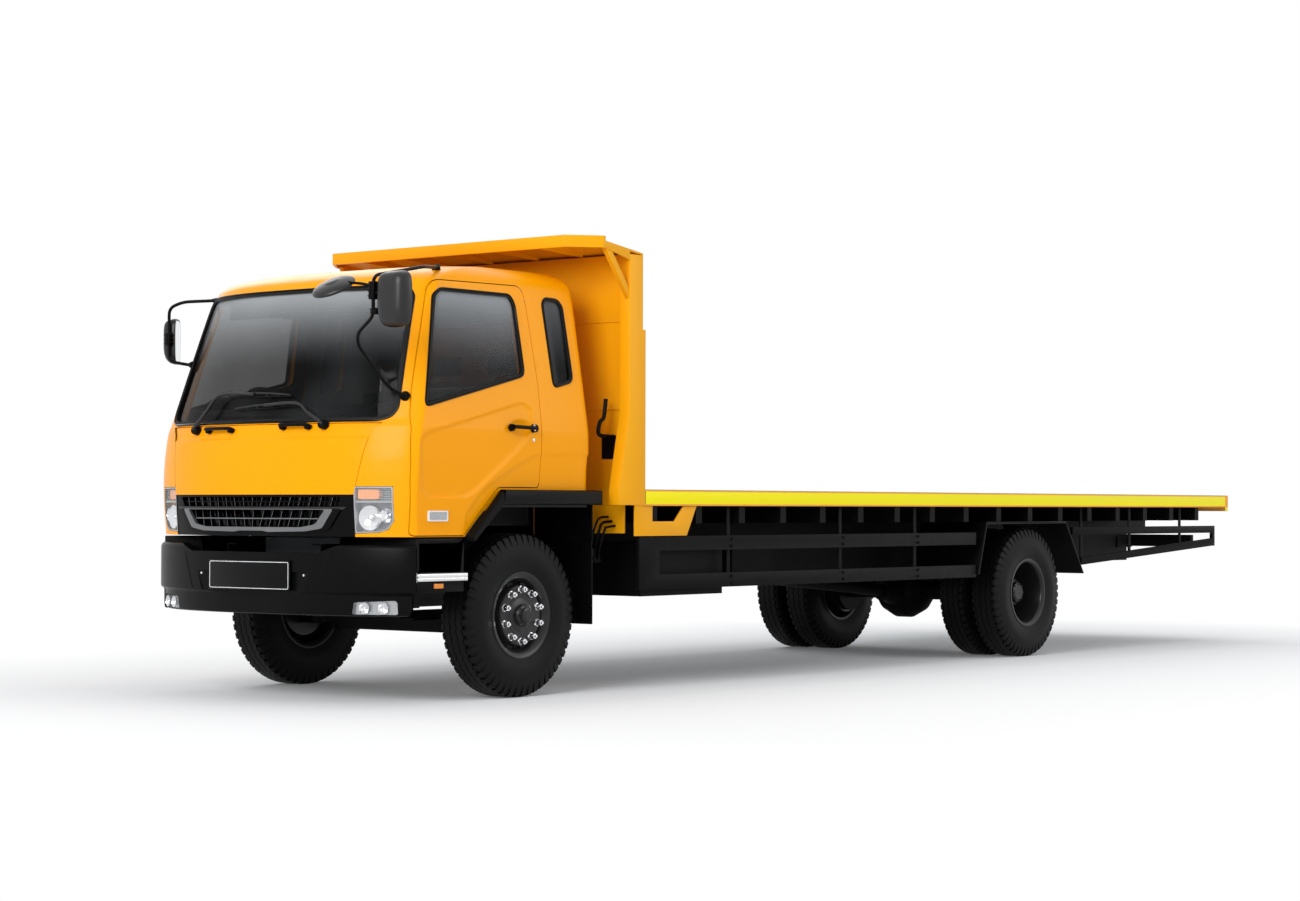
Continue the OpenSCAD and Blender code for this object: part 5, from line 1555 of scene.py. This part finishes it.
    def build(self) -> None:
        """Builds every tyre and wheel."""
        for side in Side:
            s = side.value
            self.tyre(f"tyre_{side.word}", self.front, (s * 0.97,), f"wheel_{side.word}")
            self.tyre(f"tyres_{side.word}", self.rear, (s * 1.085, s * 0.775), f"twin_wheels_{side.word}")
            self.front_wheel(side)
            self.rear_wheels(side)


def softened(node: bpy.types.Object, name: str, width: float, chosen: Callable[[Vector, Vector], Look],
             ) -> bpy.types.Object:
    """A copy of a CAD node with merged faces, softened edges and finishes by place.

    Args:
        node: the CAD node, which is left as it is.
        name: the new piece's name.
        width: how wide the softened edges are.
        chosen: gives the finish for a face's centre and normal.

    Returns:
        The new piece.
    """
    bm = bmesh.new()
    bm.from_mesh(node.data)
    bmesh.ops.remove_doubles(bm, verts=bm.verts, dist=2e-5)
    bmesh.ops.dissolve_limit(bm, angle_limit=math.radians(1), verts=bm.verts, edges=bm.edges)
    places = [(f, chosen(f.calc_center_median(), f.normal)) for f in bm.faces]
    looks = list(dict.fromkeys(look for _, look in places))
    for f, look in places:
        f.material_index = looks.index(look)
    sharp = [e for e in bm.edges if e.is_manifold and e.calc_face_angle(0) > math.radians(25)
             and e.calc_length() > 4 * width]
    if width:
        bmesh.ops.bevel(bm, geom=sharp, offset=width, segments=2, profile=0.5, affect="EDGES", clamp_overlap=False)
    mesh = bpy.data.meshes.new(name)
    bm.to_mesh(mesh)
    bm.free()
    for look in looks:
        mesh.materials.append(look.made())
    return smooth_by_angle(link(bpy.data.objects.new(name, mesh)), 35)


def bolt(radius: float, height: float, sides: int = 6) -> bpy.types.Object:
    """A small bolt head with its washer, whose axis is upright."""
    bm = bmesh.new()
    cone(bm, radius * 1.5, radius * 1.4, height * 0.3, 14)
    cone(bm, radius, radius * 0.92, height, sides, Matrix.Translation((0, 0, height * 0.5)))
    return from_bmesh(bm, "bolt")


@dataclass
class Mirrors:
    """The two side mirrors and the round nearside mirror on their bent arms."""

    shop: Workshop
    form: CabForm
    left_head: tuple = (1.42, 1.3, 2.47)
    right_head: tuple = (0.838, -1.344, 2.34)
    round_place: tuple = (1.492, 0.882, 2.545)
    round_radius: float = 0.138
    round_tilt: float = 30.0

    def head(self, centre: Point, turn: float, width: float, height: float, depth: float) -> bpy.types.Object:
        """A tapered mirror shell with its glass face to the back."""
        bm = bmesh.new()
        rings, count, squareness = [], 44, 0.42
        for at, scale, drop in ((-0.5, 0.9, 0), (-0.5, 0.95, 0), (-0.48, 0.985, 0), (-0.4, 1.0, 0),
                                (-0.2, 0.985, 0), (0.0, 0.95, 0), (0.18, 0.89, 0.004), (0.32, 0.8, 0.008),
                                (0.42, 0.68, 0.012), (0.48, 0.5, 0.014), (0.5, 0.25, 0.014)):
            ring = []
            for _, c, s in circle(count):
                y = math.copysign(abs(c) ** squareness, c) * width / 2 * scale
                z = math.copysign(abs(s) ** squareness, s) * height / 2 * scale + drop
                taper = 1.0 - 0.1 * max(0.0, -z / (height / 2))
                ring.append(bm.verts.new((at * depth, y * taper, z)))
            rings.append(ring)
        bridge(bm, rings)
        bm.faces.new(rings[0])
        bm.faces.new(rings[-1])
        bm.faces.ensure_lookup_table()
        for f in bm.faces:
            f.material_index = 1 if len(f.verts) == count and f.calc_center_median().x < 0 else 0
        moved(bm, turned(turn, "Z", self.at(centre)))
        return smooth_by_angle(painted(from_bmesh(bm, "head", Look.MIRROR), Look.SILVER), 50)

    def at(self, p: Point) -> Vector:
        """A point given ahead of the front axle, in the truck's frame."""
        return Vector((p[0] + self.form.axle_x, p[1], p[2]))

    def tube(self, points: Sequence[Point], radius: float, bend: int = 5) -> bpy.types.Object:
        """A bent tube whose corners are rounded."""
        pts = [Vector(p) for p in points]
        path = [pts[0]]
        for a, b, c in zip(pts, pts[1:], pts[2:]):
            reach = min(0.045, (a - b).length * 0.45, (c - b).length * 0.45)
            p, q = b + (a - b).normalized() * reach, b + (c - b).normalized() * reach
            path += [p * (1 - t) ** 2 + b * 2 * t * (1 - t) + q * t * t for t in (k / bend for k in range(bend + 1))]
        return self.shop.strip("tube", path + [pts[-1]], radius, Look.PLASTIC, closed=False, sides=12)

    def foot(self, centre: Vector, way: Vector, radius: float) -> bpy.types.Object:
        """A round foot with a collar, which holds an arm on the cab."""
        bm = bmesh.new()
        for r, low, high in ((radius, -0.004, 0.01), (radius * 0.7, 0.008, 0.024), (radius * 0.5, 0.02, 0.036)):
            cone(bm, r, r * 0.85, high - low, 20, Matrix.Translation((0, 0, (low + high) / 2)))
        moved(bm, Matrix.Translation(centre) @ way.to_track_quat("Z", "Y").to_matrix().to_4x4())
        return smooth_by_angle(from_bmesh(bm, "foot", Look.PLASTIC), 40)

    def clamp(self, centre: Vector, size: Point) -> bpy.types.Object:
        """A ribbed clamp block with its bolts."""
        half = Vector(size) / 2
        body = block(centre - half, centre + half, "clamp", Look.PLASTIC, 0.006)
        ribs = [block(centre + Vector((-half.x * 1.12, -half.y * 1.12, z - 0.004)),
                      centre + Vector((half.x * 1.12, half.y * 1.12, z + 0.004)), "rib", Look.PLASTIC, 0.002)
                for z in (-half.z * 0.6, 0.0, half.z * 0.6)]
        return join("clamp", [body, *ribs])

    def left(self) -> None:
        """The left arm with the main mirror and the round mirror."""
        skin = self.form.front_point
        top, low = skin(0.874, 2.727), skin(1.038, 1.905)
        at = self.at
        arm = self.tube([top + Vector((0.0, 0.01, 0.014)), at((0.9, 1.06, 2.712)), at((1.4, 1.15, 2.622)),
                         at((1.44, 1.16, 2.59)), at((1.44, 1.16, 2.37)), at((1.38, 0.97, 2.279)),
                         at((1.34, 0.93, 2.21)), at((1.2, 0.99, 2.019)), at((1.11, 1.0, 1.942)),
                         low + Vector((0.015, 0.02, 0.0))], 0.011)
        cx, cy, cz = self.round_place
        boss = at((cx - 0.01, cy, cz + 0.01))
        parts = [self.head(self.left_head, 0.0, 0.24, 0.34, 0.1), arm,
                 self.tube([at((1.44, 1.16, 2.55)), at((1.47, 1.1, 2.566)), at((cx, cy + 0.06, 2.585)), boss],
                           0.009),
                 self.tube([at((1.44, 1.16, 2.51)), at((1.425, 1.215, 2.51))], 0.014),
                 self.clamp(at((1.44, 1.16, 2.525)), (0.044, 0.046, 0.11)),
                 self.clamp(at((1.436, 1.175, 2.4)), (0.036, 0.05, 0.04)),
                 self.foot(top, Vector((0.2, 0.6, 0.77)), 0.032), self.foot(low, Vector((0.55, 0.8, 0.1)), 0.034),
                 self.round_mirror()]
        self.shop.close("mirror_left_dressed", parts, 45, "cab", "black_plastic", "mirror_left")

    def round_mirror(self) -> bpy.types.Object:
        """The round mirror: a domed shell, its boss and its glass below."""
        bm = bmesh.new()
        profile = [(0.86, 0.004), (0.94, 0.001), (0.985, 0.004), (1.0, 0.01), (0.985, 0.017), (0.93, 0.026),
                   (0.82, 0.034), (0.66, 0.041), (0.46, 0.046), (0.3, 0.048), (0.28, 0.05)]
        rings = [[bm.verts.new((x, y, h)) for _, x, y in circle(48, self.round_radius * share)] for share, h in profile]
        bridge(bm, rings)
        glass = bm.faces.new(rings[0])
        bm.faces.new(rings[-1])
        glass.material_index = 1
        moved(bm, turned(self.round_tilt, "Y", self.at(self.round_place)))
        return smooth_by_angle(painted(from_bmesh(bm, "round", Look.MIRROR), Look.SILVER), 50)

    def right(self) -> None:
        """The right mirror, whose arm sits on the right door."""
        at = self.at
        high = self.form.front_point(-0.992, 2.605)
        low = self.form.front_point(-1.06, 2.17)
        arm = self.tube([high + Vector((0, -0.018, 0.004)), at((0.88, -1.18, 2.6)), at((0.93, -1.262, 2.56)),
                         at((0.93, -1.262, 2.2)), low + Vector((0, -0.018, 0.0))], 0.011)
        parts = [self.head(self.right_head, -51.5, 0.216, 0.31, 0.09), arm,
                 self.tube([at((0.93, -1.262, 2.35)), at((0.89, -1.3, 2.35))], 0.014),
                 self.clamp(at((0.928, -1.266, 2.35)), (0.04, 0.044, 0.09)),
                 self.foot(high, Vector((0.1, -0.9, 0.2)), 0.024), self.foot(low, Vector((0.1, -0.9, 0.1)), 0.027)]
        self.shop.close("mirror_right_dressed", parts, 45, "door_right", "black_plastic", "mirror_right")

    def build(self) -> None:
        """Builds both sides' mirrors."""
        self.left()
        self.right()


@dataclass
class Interior:
    """The seats, the steering wheel and the trim that show through the glass."""

    shop: Workshop
    form: CabForm
    seats: tuple = ((-0.55, 0.52), (0.5, 0.52), (0.0, 0.36))
    cushion: tuple = (-0.41, 0.085, 1.292, 1.428)
    floor: float = 1.1
    cap: float = 0.024
    voxel: float = 0.014
    pressure: float = 4.0
    frames: int = 20

    def pad(self, name: str, outline: Outline, half: float, waist: float = 0.012) -> bpy.types.Object:
        """A stuffed pad from its side outline, blown up by a cloth simulation.

        Args:
            name: the pad's name.
            outline: its side outline, as x ahead of the front axle and z.
            half: half its width.
            waist: how much smaller it starts, because it swells.

        Returns:
            The pad's object, centred on y = 0.
        """
        line = rounded([(x + self.form.axle_x, z) for x, z in offset_outline(outline, -waist)], 0.05, 5)
        made = prism(line, -half + waist, half - waist, True, name)
        remesh = made.modifiers.new("voxels", "REMESH")
        remesh.mode, remesh.voxel_size = "VOXEL", self.voxel
        soft = plain_copy(made, name)
        bpy.data.objects.remove(made)
        start = [v.co.copy() for v in soft.data.vertices]
        cloth = soft.modifiers.new("swell", "CLOTH")
        cloth.settings.use_pressure = True
        cloth.settings.uniform_pressure_force = self.pressure
        cloth.settings.effector_weights.gravity = 0.0
        scene = bpy.context.scene
        for frame_number in range(1, self.frames + 1):
            scene.frame_set(frame_number)
        swollen = plain_copy(soft, name)
        bpy.data.objects.remove(soft)
        for v, was in zip(swollen.data.vertices, start):
            way = v.co - was
            if way.length > self.cap:
                v.co = was + way.normalized() * self.cap
        soft = swollen
        scene.frame_set(1)
        smooth = soft.modifiers.new("finer", "SUBSURF")
        smooth.levels = smooth.render_levels = 1
        made = plain_copy(soft, name)
        bpy.data.objects.remove(soft)
        painted(made, Look.SEAT).data.shade_smooth()
        return made

    def seat_set(self) -> None:
        """Three seats: each a stuffed cushion, back and headrest on a black base."""
        x0, x1, z0, z1 = self.cushion
        shapes = {"cushion": ([(x0, z0), (x1, z0), (x1, z1 - 0.01), (x0, z1 - 0.02)], 0.0),
                  "back": ([(-0.405, 1.435), (-0.275, 1.435), (-0.405, 2.065), (-0.49, 2.065)], 0.02),
                  "headrest": ([(-0.495, 2.1), (-0.408, 2.1), (-0.432, 2.265), (-0.502, 2.265)], 0.0)}
        for k, (y, width) in enumerate(self.seats, 1):
            for kind, (outline, less) in shapes.items():
                half = 0.128 if kind == "headrest" else width / 2 - less
                pad = self.pad(f"seat_{k}_{kind}", outline, half)
                for v in pad.data.vertices:
                    v.co.y += y
                self.shop.fit(pad, "cab", "seat_fabric")
        parts = []
        ax = self.form.axle_x
        for y, width in self.seats:
            low, high = max(y - width / 2 + 0.06, -0.6), min(y + width / 2 - 0.06, 0.6)
            parts.append(block((ax - 0.4, low, self.floor + 0.002), (ax + 0.06, high, self.floor + 0.19), "base",
                               Look.TRIM, 0.02, 3))
            for side in (-0.075, 0.075):
                parts.append(self.shop.strip("post", [Vector((ax - 0.448, y + side, 2.02)),
                                                      Vector((ax - 0.452, y + side, 2.14))], 0.007, Look.CHROME,
                                             closed=False))
        self.shop.fit(join("seat_bases", parts), "cab", "interior_trim", "seats")

    def wheel(self) -> None:
        """The steering wheel with its grip, spokes, hub and column."""
        turn = turned(-42, "Y", (self.form.axle_x + 0.62, -0.55, 1.86))
        grip = [turn @ Vector((x, y, 0)) for _, x, y in circle(56, 0.21)]
        parts = [self.shop.strip("grip", grip, 0.0155, Look.TRIM, sides=14)]
        for a in (90, 210, 330):
            b = math.radians(a)
            parts.append(self.shop.strip("spoke", [turn @ Vector((r * math.cos(b), r * math.sin(b), -0.006))
                                                   for r in (0.03, 0.09, 0.15, 0.208)], 0.011, Look.TRIM, closed=False))
        bm = bmesh.new()
        for r1, r2, low, high in ((0.062, 0.05, -0.022, 0.008), (0.028, 0.028, -0.185, -0.02)):
            cone(bm, r1, r2, high - low, 28, turn @ Matrix.Translation((0, 0, (low + high) / 2)))
        parts.append(from_bmesh(bm, "hub", Look.TRIM))
        self.shop.close("steering_wheel_dressed", parts, 40, "cab", "interior_trim", "steering_wheel")

    def trim(self) -> None:
        """The gauge hood, vents, visors, driving mirror and grab rails."""
        ax = self.form.axle_x
        hood = prism([(0.72, 1.8), (0.7, 1.86), (0.72, 1.925), (0.8, 1.955), (0.9, 1.945), (0.98, 1.9),
                      (1.02, 1.83), (1.02, 1.8)], -0.84, -0.27, True, "hood")
        for v in hood.data.vertices:
            v.co.x += ax
        parts = [painted(hood, Look.TRIM)]
        slats = [((ax + 0.708, y + k * 0.016, 1.74), (0, 0, 0)) for y in (-0.1, 0.1, 0.62) for k in range(-4, 5)]
        parts.append(self.shop.spread("vents", block((-0.006, -0.002, -0.03), (0.006, 0.002, 0.03), "slat"), slats,
                                      Look.GLOSS))
        front = self.form.front_point
        for y in (-0.46, 0.46):
            a, b = front(y - 0.27, 2.545, -0.085), front(y + 0.27, 2.545, -0.085)
            x = min(a.x, b.x)
            parts.append(block((x - 0.012, y - 0.26, 2.455), (x + 0.008, y + 0.26, 2.58), "visor", Look.TRIM, 0.008, 3))
        middle = front(0.0, 2.5, -0.105)
        parts.append(block(middle + Vector((-0.012, -0.125, -0.036)), middle + Vector((0.01, 0.125, 0.036)), "mirror",
                           Look.TRIM, 0.009, 3))
        parts.append(self.shop.strip("stem", [middle, middle + Vector((0.0, 0, 0.09))], 0.008, Look.TRIM,
                                     closed=False))
        for sign in (1, -1):
            rail = smooth_path([(ax + x, sign * 0.8, z) for x, z in (
                (0.7, 1.86), (0.64, 1.96), (0.56, 2.0), (0.3, 2.01), (0.23, 1.975), (0.205, 1.89))])
            parts.append(self.shop.strip("rail", rail, 0.014, Look.TRIM, closed=False, sides=10))
        self.shop.close("cab_trim_parts", parts, 40, "cab", "interior_trim")

    def build(self) -> None:
        """Builds the interior."""
        self.seat_set()
        self.wheel()
        self.trim()


@dataclass
class Body:
    """The deck, headboard, canopy, guards, steps and arches, from their CAD shapes with softened edges."""

    shop: Workshop
    form: CabForm
    nodes: dict
    deck_z: float = 1.345
    band_z: float = 1.235
    half_w: float = 1.25
    tail_x: float = -9.78
    front_x: float = -1.07
    plate: float = 1.22

    def finish_deck(self, c: Vector, n: Vector) -> Look:
        """The deck's finish at a place."""
        if n.z > 0.5 and c.z > self.deck_z - 0.01:
            return Look.DECK
        if abs(c.y) > self.half_w - 0.004 and c.z > self.band_z - 0.001 or abs(n.x) > 0.9 and c.z > self.band_z:
            return Look.BAND if abs(c.y) > 0.1 or c.z > 1.3 else Look.CHASSIS
        return Look.EDGE if c.z < self.band_z else Look.CHASSIS

    def deck(self) -> None:
        """The deck with its band, edge lines, plate seams and screws."""
        ax = self.form.axle_x
        parts = [softened(self.nodes["deck"], "deck_dressed", 0.003, self.finish_deck)]
        x0, x1 = ax + self.tail_x, ax + self.front_x
        for sign in (1, -1):
            a, b = sorted((sign * (self.half_w - 0.004), sign * (self.half_w + 0.0006)))
            for low, high in ((self.band_z + 0.0005, self.band_z + 0.012), (self.deck_z - 0.012, self.deck_z - 0.004)):
                parts.append(block((x0 + 0.001, a, low), (x1, b, high), "line", Look.EDGE))
            parts.append(block((x0, a, self.band_z + 0.001), (x0 + 0.055, b + (0.0004 if sign > 0 else 0),
                                                                   self.deck_z - 0.001), "end", Look.EDGE))
        for k in range(1, int((x1 - x0) / self.plate) + 1):
            x = x1 - self.plate * k
            parts.append(self.shop.strip("seam", [Vector((x, y, self.deck_z - 0.0022)) for y in (-1.24, 0.0, 1.24)],
                                         0.003, Look.EDGE, closed=False, sides=6))
        pitch = self.plate / 4
        screws = [((x1 - 0.06 - pitch * i, y, self.deck_z - 0.0018), (0, 0, 0)) for i in range(int((x1 - x0) / pitch))
                  for y in (-1.2, -0.8, -0.4, 0.0, 0.4, 0.8, 1.2)]
        parts.append(self.shop.spread("screws", bolt(0.007, 0.003, 8), screws, Look.EDGE))
        self.shop.close("deck_dressed", parts, 35, "chassis", "deck_paint", "deck")

    def board(self) -> None:
        """The headboard with its lapped seams and the canopy with its ribs."""
        for name in ("headboard", "canopy"):
            made = softened(self.nodes[name], f"{name}_dressed", 0.0022, lambda c, n: Look.BOARD)
            self.shop.fit(made, "chassis", "board_paint", name)

    def black_parts(self) -> None:
        """The guards, mudguards and arches with softened edges and their bolts."""
        for name, width, look, slot, body in (
                ("side_guards", 0.004, Look.CHASSIS, "chassis_black", "chassis"),
                ("rear_guard", 0.008, Look.CHASSIS, "chassis_black", "chassis"),
                ("mudguards", 0.003, Look.PLASTIC, "chassis_black", "chassis"),
                ("arch_flares", 0.014, Look.PLASTIC, "black_plastic", "cab")):
            made = softened(self.nodes[name], f"{name}_dressed", width, lambda c, n, look=look: look)
            self.shop.close(f"{name}_dressed", [made, *self.extras(name)], 35, body, slot, name)

    def extras(self, name: str) -> list[bpy.types.Object]:
        """The bolts, rods and edges that belong to a black part."""
        ax = self.form.axle_x
        parts = []
        if name == "side_guards":
            places = []
            for share in (0.2, 0.54, 0.79):
                x = ax - 1.25 + (-4.09) * share
                for z in (0.955, 1.005, 0.695, 0.745):
                    for sign in (1, -1):
                        places.append(((x, sign * 1.2302, z), (math.radians(-90 * sign), 0, 0)))
            parts.append(self.shop.spread("bolts", bolt(0.009, 0.01), places, Look.CHASSIS))
        if name == "mudguards":
            for sign in (1, -1):
                for y in (0.835, 1.115):
                    parts.append(self.shop.strip("rod", [Vector((ax - 0.664, sign * y, z)) for z in
                                                         (0.47, 0.6, 0.75, 0.96)], 0.008, Look.CHASSIS, closed=False))
                places = [((ax - 0.648, sign * y, z), (0, math.radians(90), 0)) for y in (0.87, 0.975, 1.08)
                          for z in (0.905, 0.945)]
                parts.append(self.shop.spread("bolts", bolt(0.008, 0.008), places, Look.CHASSIS))
                a, b = sorted((sign * 0.62, sign * 1.13))
                parts.append(block((ax - 0.662, a, 0.95), (ax - 0.652, b, 1.29), "screen", Look.PLASTIC, 0.003))
        return parts

    def steps(self) -> None:
        """The step boxes with their ribbed tread strips."""
        ax = self.form.axle_x
        made = softened(self.nodes["steps"], "steps_body", 0.006,
                        lambda c, n: Look.STEEL if abs(c.y) > 1.156 and 0.75 < c.z < 0.83 else Look.PLASTIC)
        parts = [made]
        places = [((ax + 0.615 + 0.0152 * i, sign * 1.1745, z), (0, 0, 0)) for i in range(30) for sign in (1, -1)
                  for z in (0.779, 0.803)]
        rib = block((-0.005, -0.0015, -0.008), (0.005, 0.0015, 0.008), "rib", None, 0.001)
        parts.append(self.shop.spread("ribs", rib, places, Look.CHROME))
        floor = [((ax + 0.7 + 0.03 * i, sign * 0.98, 0.828), (0, 0, 0)) for i in range(11) for sign in (1, -1)]
        parts.append(self.shop.spread("grip", block((-0.006, -0.11, -0.003), (0.006, 0.11, 0.003), "bar", None, 0.001),
                                      floor, Look.STEEL))
        self.shop.close("steps_dressed", parts, 35, "chassis", "black_plastic", "steps")

    def pipes(self) -> None:
        """The air pipes and the bent rod that stand on the headboard behind the cab."""
        ax = self.form.axle_x
        parts = []
        rod = smooth_path([(ax - x, y, z) for x, y, z in (
            (0.905, 1.11, 1.7), (0.86, 1.1, 1.7), (0.76, 1.098, 1.712), (0.77, 1.098, 1.79),
            (0.812, 1.098, 1.83), (0.832, 1.098, 1.95))])
        parts.append(self.shop.strip("rod", rod, 0.014, Look.PLASTIC, closed=False, sides=10))
        for k in range(3):
            y = 1.02 + 0.03 * k
            line = smooth_path([(ax - 0.955, y, 1.16 - 0.03 * k), (ax - 0.86, y, 1.15 - 0.03 * k),
                                (ax - 0.785 - 0.02 * k, y + 0.02, 1.08), (ax - 0.77 - 0.015 * k, y, 0.98),
                                (ax - 0.8 - 0.01 * k, y - 0.03, 0.9), (ax - 0.86, y - 0.05, 0.86)], 8)
            parts.append(self.shop.strip("pipe", line, 0.008 + 0.002 * (k % 2), Look.PLASTIC, closed=False, sides=8))
        parts.append(block((ax - 0.985, 0.98, 1.55), (ax - 0.93, 1.12, 1.71), "plate", Look.CHASSIS, 0.004))
        self.shop.close("air_pipes", parts, 40, "chassis", "black_plastic")

    def build(self) -> None:
        """Builds the body's parts."""
        self.deck()
        self.board()
        self.black_parts()
        self.steps()
        self.pipes()


def main() -> None:
    """Builds the truck's dressing and the studio, and reports each piece."""
    logging.basicConfig(level=logging.INFO, format="%(message)s")
    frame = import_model()
    low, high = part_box("tyre_left")
    axle_x = (low.x + high.x) / 2
    Carried(frame["nodes"]).dress()
    shop = Workshop()
    form = CabForm(axle_x)
    skin = CabSkin(shop, form)
    skin.build()
    FrontEnd(shop, form, skin).build()
    RollingGear(shop, (axle_x, 0.0, AXLE_Z), (axle_x - WHEELBASE, 0.0, AXLE_Z)).build()
    Mirrors(shop, form).build()
    Interior(shop, form).build()
    Body(shop, form, frame["nodes"]).build()
    Studio(axle_x).build()


@dataclass
class Carried:
    """The CAD nodes that keep their own shape, with their finishes."""

    nodes: dict
    looks: dict = field(default_factory=lambda: {
        Look.CHASSIS: "frame driveline front_axle rear_axle leaf_springs tanks mudguards side_guards rear_guard "
                      "subframe tilt_arms knuckle_left knuckle_right tie_rod",
        Look.CAST: "engine",
        Look.EXHAUST: "exhaust",
        Look.PLASTIC: "bumper steps grille arch_flares wipers",
        Look.MIRROR: "mirror_left mirror_right",
        Look.CAB: "cab_shell front_panel door_left door_right",
        Look.BAND: "deck",
        Look.BOARD: "headboard canopy",
        Look.SCREEN: "cab_glass",
        Look.PANE: "door_glass_left door_glass_right",
        Look.TRIM: "dashboard steering_wheel",
        Look.SEAT: "seats",
        Look.TYRE: "tyre_left tyre_right tyres_left tyres_right",
        Look.WHEEL: "wheel_left wheel_right wheels_left wheels_right",
        Look.CLEAR: "chassis_lamps headlamps"})

    def dress(self) -> None:
        """Gives every node its finish."""
        for look, names in self.looks.items():
            for name in names.split():
                self.nodes[name].data.materials.clear()
                painted(self.nodes[name], look)


@dataclass
class Studio:
    """The pale floor, the soft lamps, the world and the camera of the photograph."""

    axle_x: float
    camera_place: tuple = (12.64, 12.205, 1.23)
    yaw: float = 218.53
    pitch: float = 1.232
    roll: float = 0.13
    lens: float = 72.25

    def build(self) -> None:
        """Makes floor, lamps, world and camera."""
        self.floor()
        self.world()
        self.lamp("key", (18, 4.5, 8), 8.0, 1700)
        self.lamp("fill", (-8, 15, 8), 9.0, 650)
        self.lamp("rim", (-6, -14, 11), 9.0, 450)
        self.lamp("top", (-2, 0, 15), 12.0, 340)
        self.camera()
        bpy.context.scene.view_settings.view_transform = "Standard"

    def lamp(self, name: str, place: Point, size: float, watts: float) -> None:
        """Adds one square lamp that faces the truck."""
        data = bpy.data.lights.new(name, "AREA")
        data.size, data.energy = size, watts
        made = link(bpy.data.objects.new(name, data))
        made.location = Vector(place) + Vector((self.axle_x - 3.5, 0, 0))
        aim = Vector((self.axle_x - 3.5, 0, 1.2)) - made.location
        made.rotation_euler = aim.to_track_quat("-Z", "Y").to_euler()

    def world(self) -> None:
        """Makes a pale world that shows white to the camera and in gloss and glass."""
        world = bpy.data.worlds.new("studio")
        bpy.context.scene.world = world
        s = Shader("studio", world)
        path = s.add("ShaderNodeLightPath", {}, {})
        clear = s.add("ShaderNodeMath", {"operation": "MAXIMUM"}, {0: path[6], 1: path[3]})[0]
        seen = s.add("ShaderNodeMath", {"operation": "MAXIMUM"}, {0: path[0], 1: clear})[0]
        soft = s.add("ShaderNodeBackground", {}, {0: (0.9, 0.95, 1.0, 1), 1: 0.55})[0]
        white = s.add("ShaderNodeBackground", {}, {0: (1, 1, 1, 1), 1: 1.0})[0]
        mixed = s.add("ShaderNodeMixShader", {}, {0: seen, 1: soft, 2: white})[0]
        s.add("ShaderNodeOutputWorld", {}, {0: mixed})

    def floor(self) -> None:
        """Lays a wide pale floor whose light part is lifted to white for the camera."""
        bm = bmesh.new()
        bmesh.ops.create_grid(bm, x_segments=1, y_segments=1, size=400)
        made = from_bmesh(bm, "studio_floor")
        s = Shader("studio_white")
        path = s.add("ShaderNodeLightPath", {}, {})
        diffuse = s.add("ShaderNodeBsdfDiffuse", {}, {0: (0.86, 0.86, 0.86, 1)})[0]
        glow = s.add("ShaderNodeEmission", {}, {0: (1, 1, 1, 1), 1: 0.07})[0]
        white = s.add("ShaderNodeEmission", {}, {0: (1, 1, 1, 1), 1: 1.0})[0]
        near = s.add("ShaderNodeAddShader", {}, {0: diffuse, 1: glow})[0]
        across = s.add("ShaderNodeMath", {"operation": "ABSOLUTE"}, {0: s.axis(1)})[0]
        along = s.add("ShaderNodeMath", {"operation": "ABSOLUTE"}, {0: s.axis(0)})[0]
        far = (((across - 1.6) / 3.4).clamp() + ((along - 5.4) / 3.6).clamp()).clamp()
        plain = s.add("ShaderNodeMixShader", {}, {0: far, 1: near, 2: white})[0]
        sharp = (path[0] + path[3] + path[6]).clamp()
        seen = s.add("ShaderNodeMixShader", {}, {0: sharp, 1: diffuse, 2: plain})[0]
        made.data.materials.append(s.finish(seen))

    def camera(self) -> None:
        """Sets the camera where the photograph was taken."""
        data = bpy.data.cameras.new("photo_camera")
        data.lens, data.sensor_width, data.sensor_fit = self.lens, 36.0, "HORIZONTAL"
        data.clip_end = 2000
        made = link(bpy.data.objects.new("photo_camera", data))
        made.location = Vector(self.camera_place) + Vector((self.axle_x, 0, 0))
        yaw, pitch = math.radians(self.yaw), math.radians(self.pitch)
        way = Vector((math.cos(yaw) * math.cos(pitch), math.sin(yaw) * math.cos(pitch), math.sin(pitch)))
        turn = way.to_track_quat("-Z", "Y").to_matrix().to_4x4() @ Matrix.Rotation(math.radians(self.roll), 4, "Z")
        made.rotation_euler = turn.to_euler()
        bpy.context.scene.camera = made


if __name__ == "__main__":
    main()
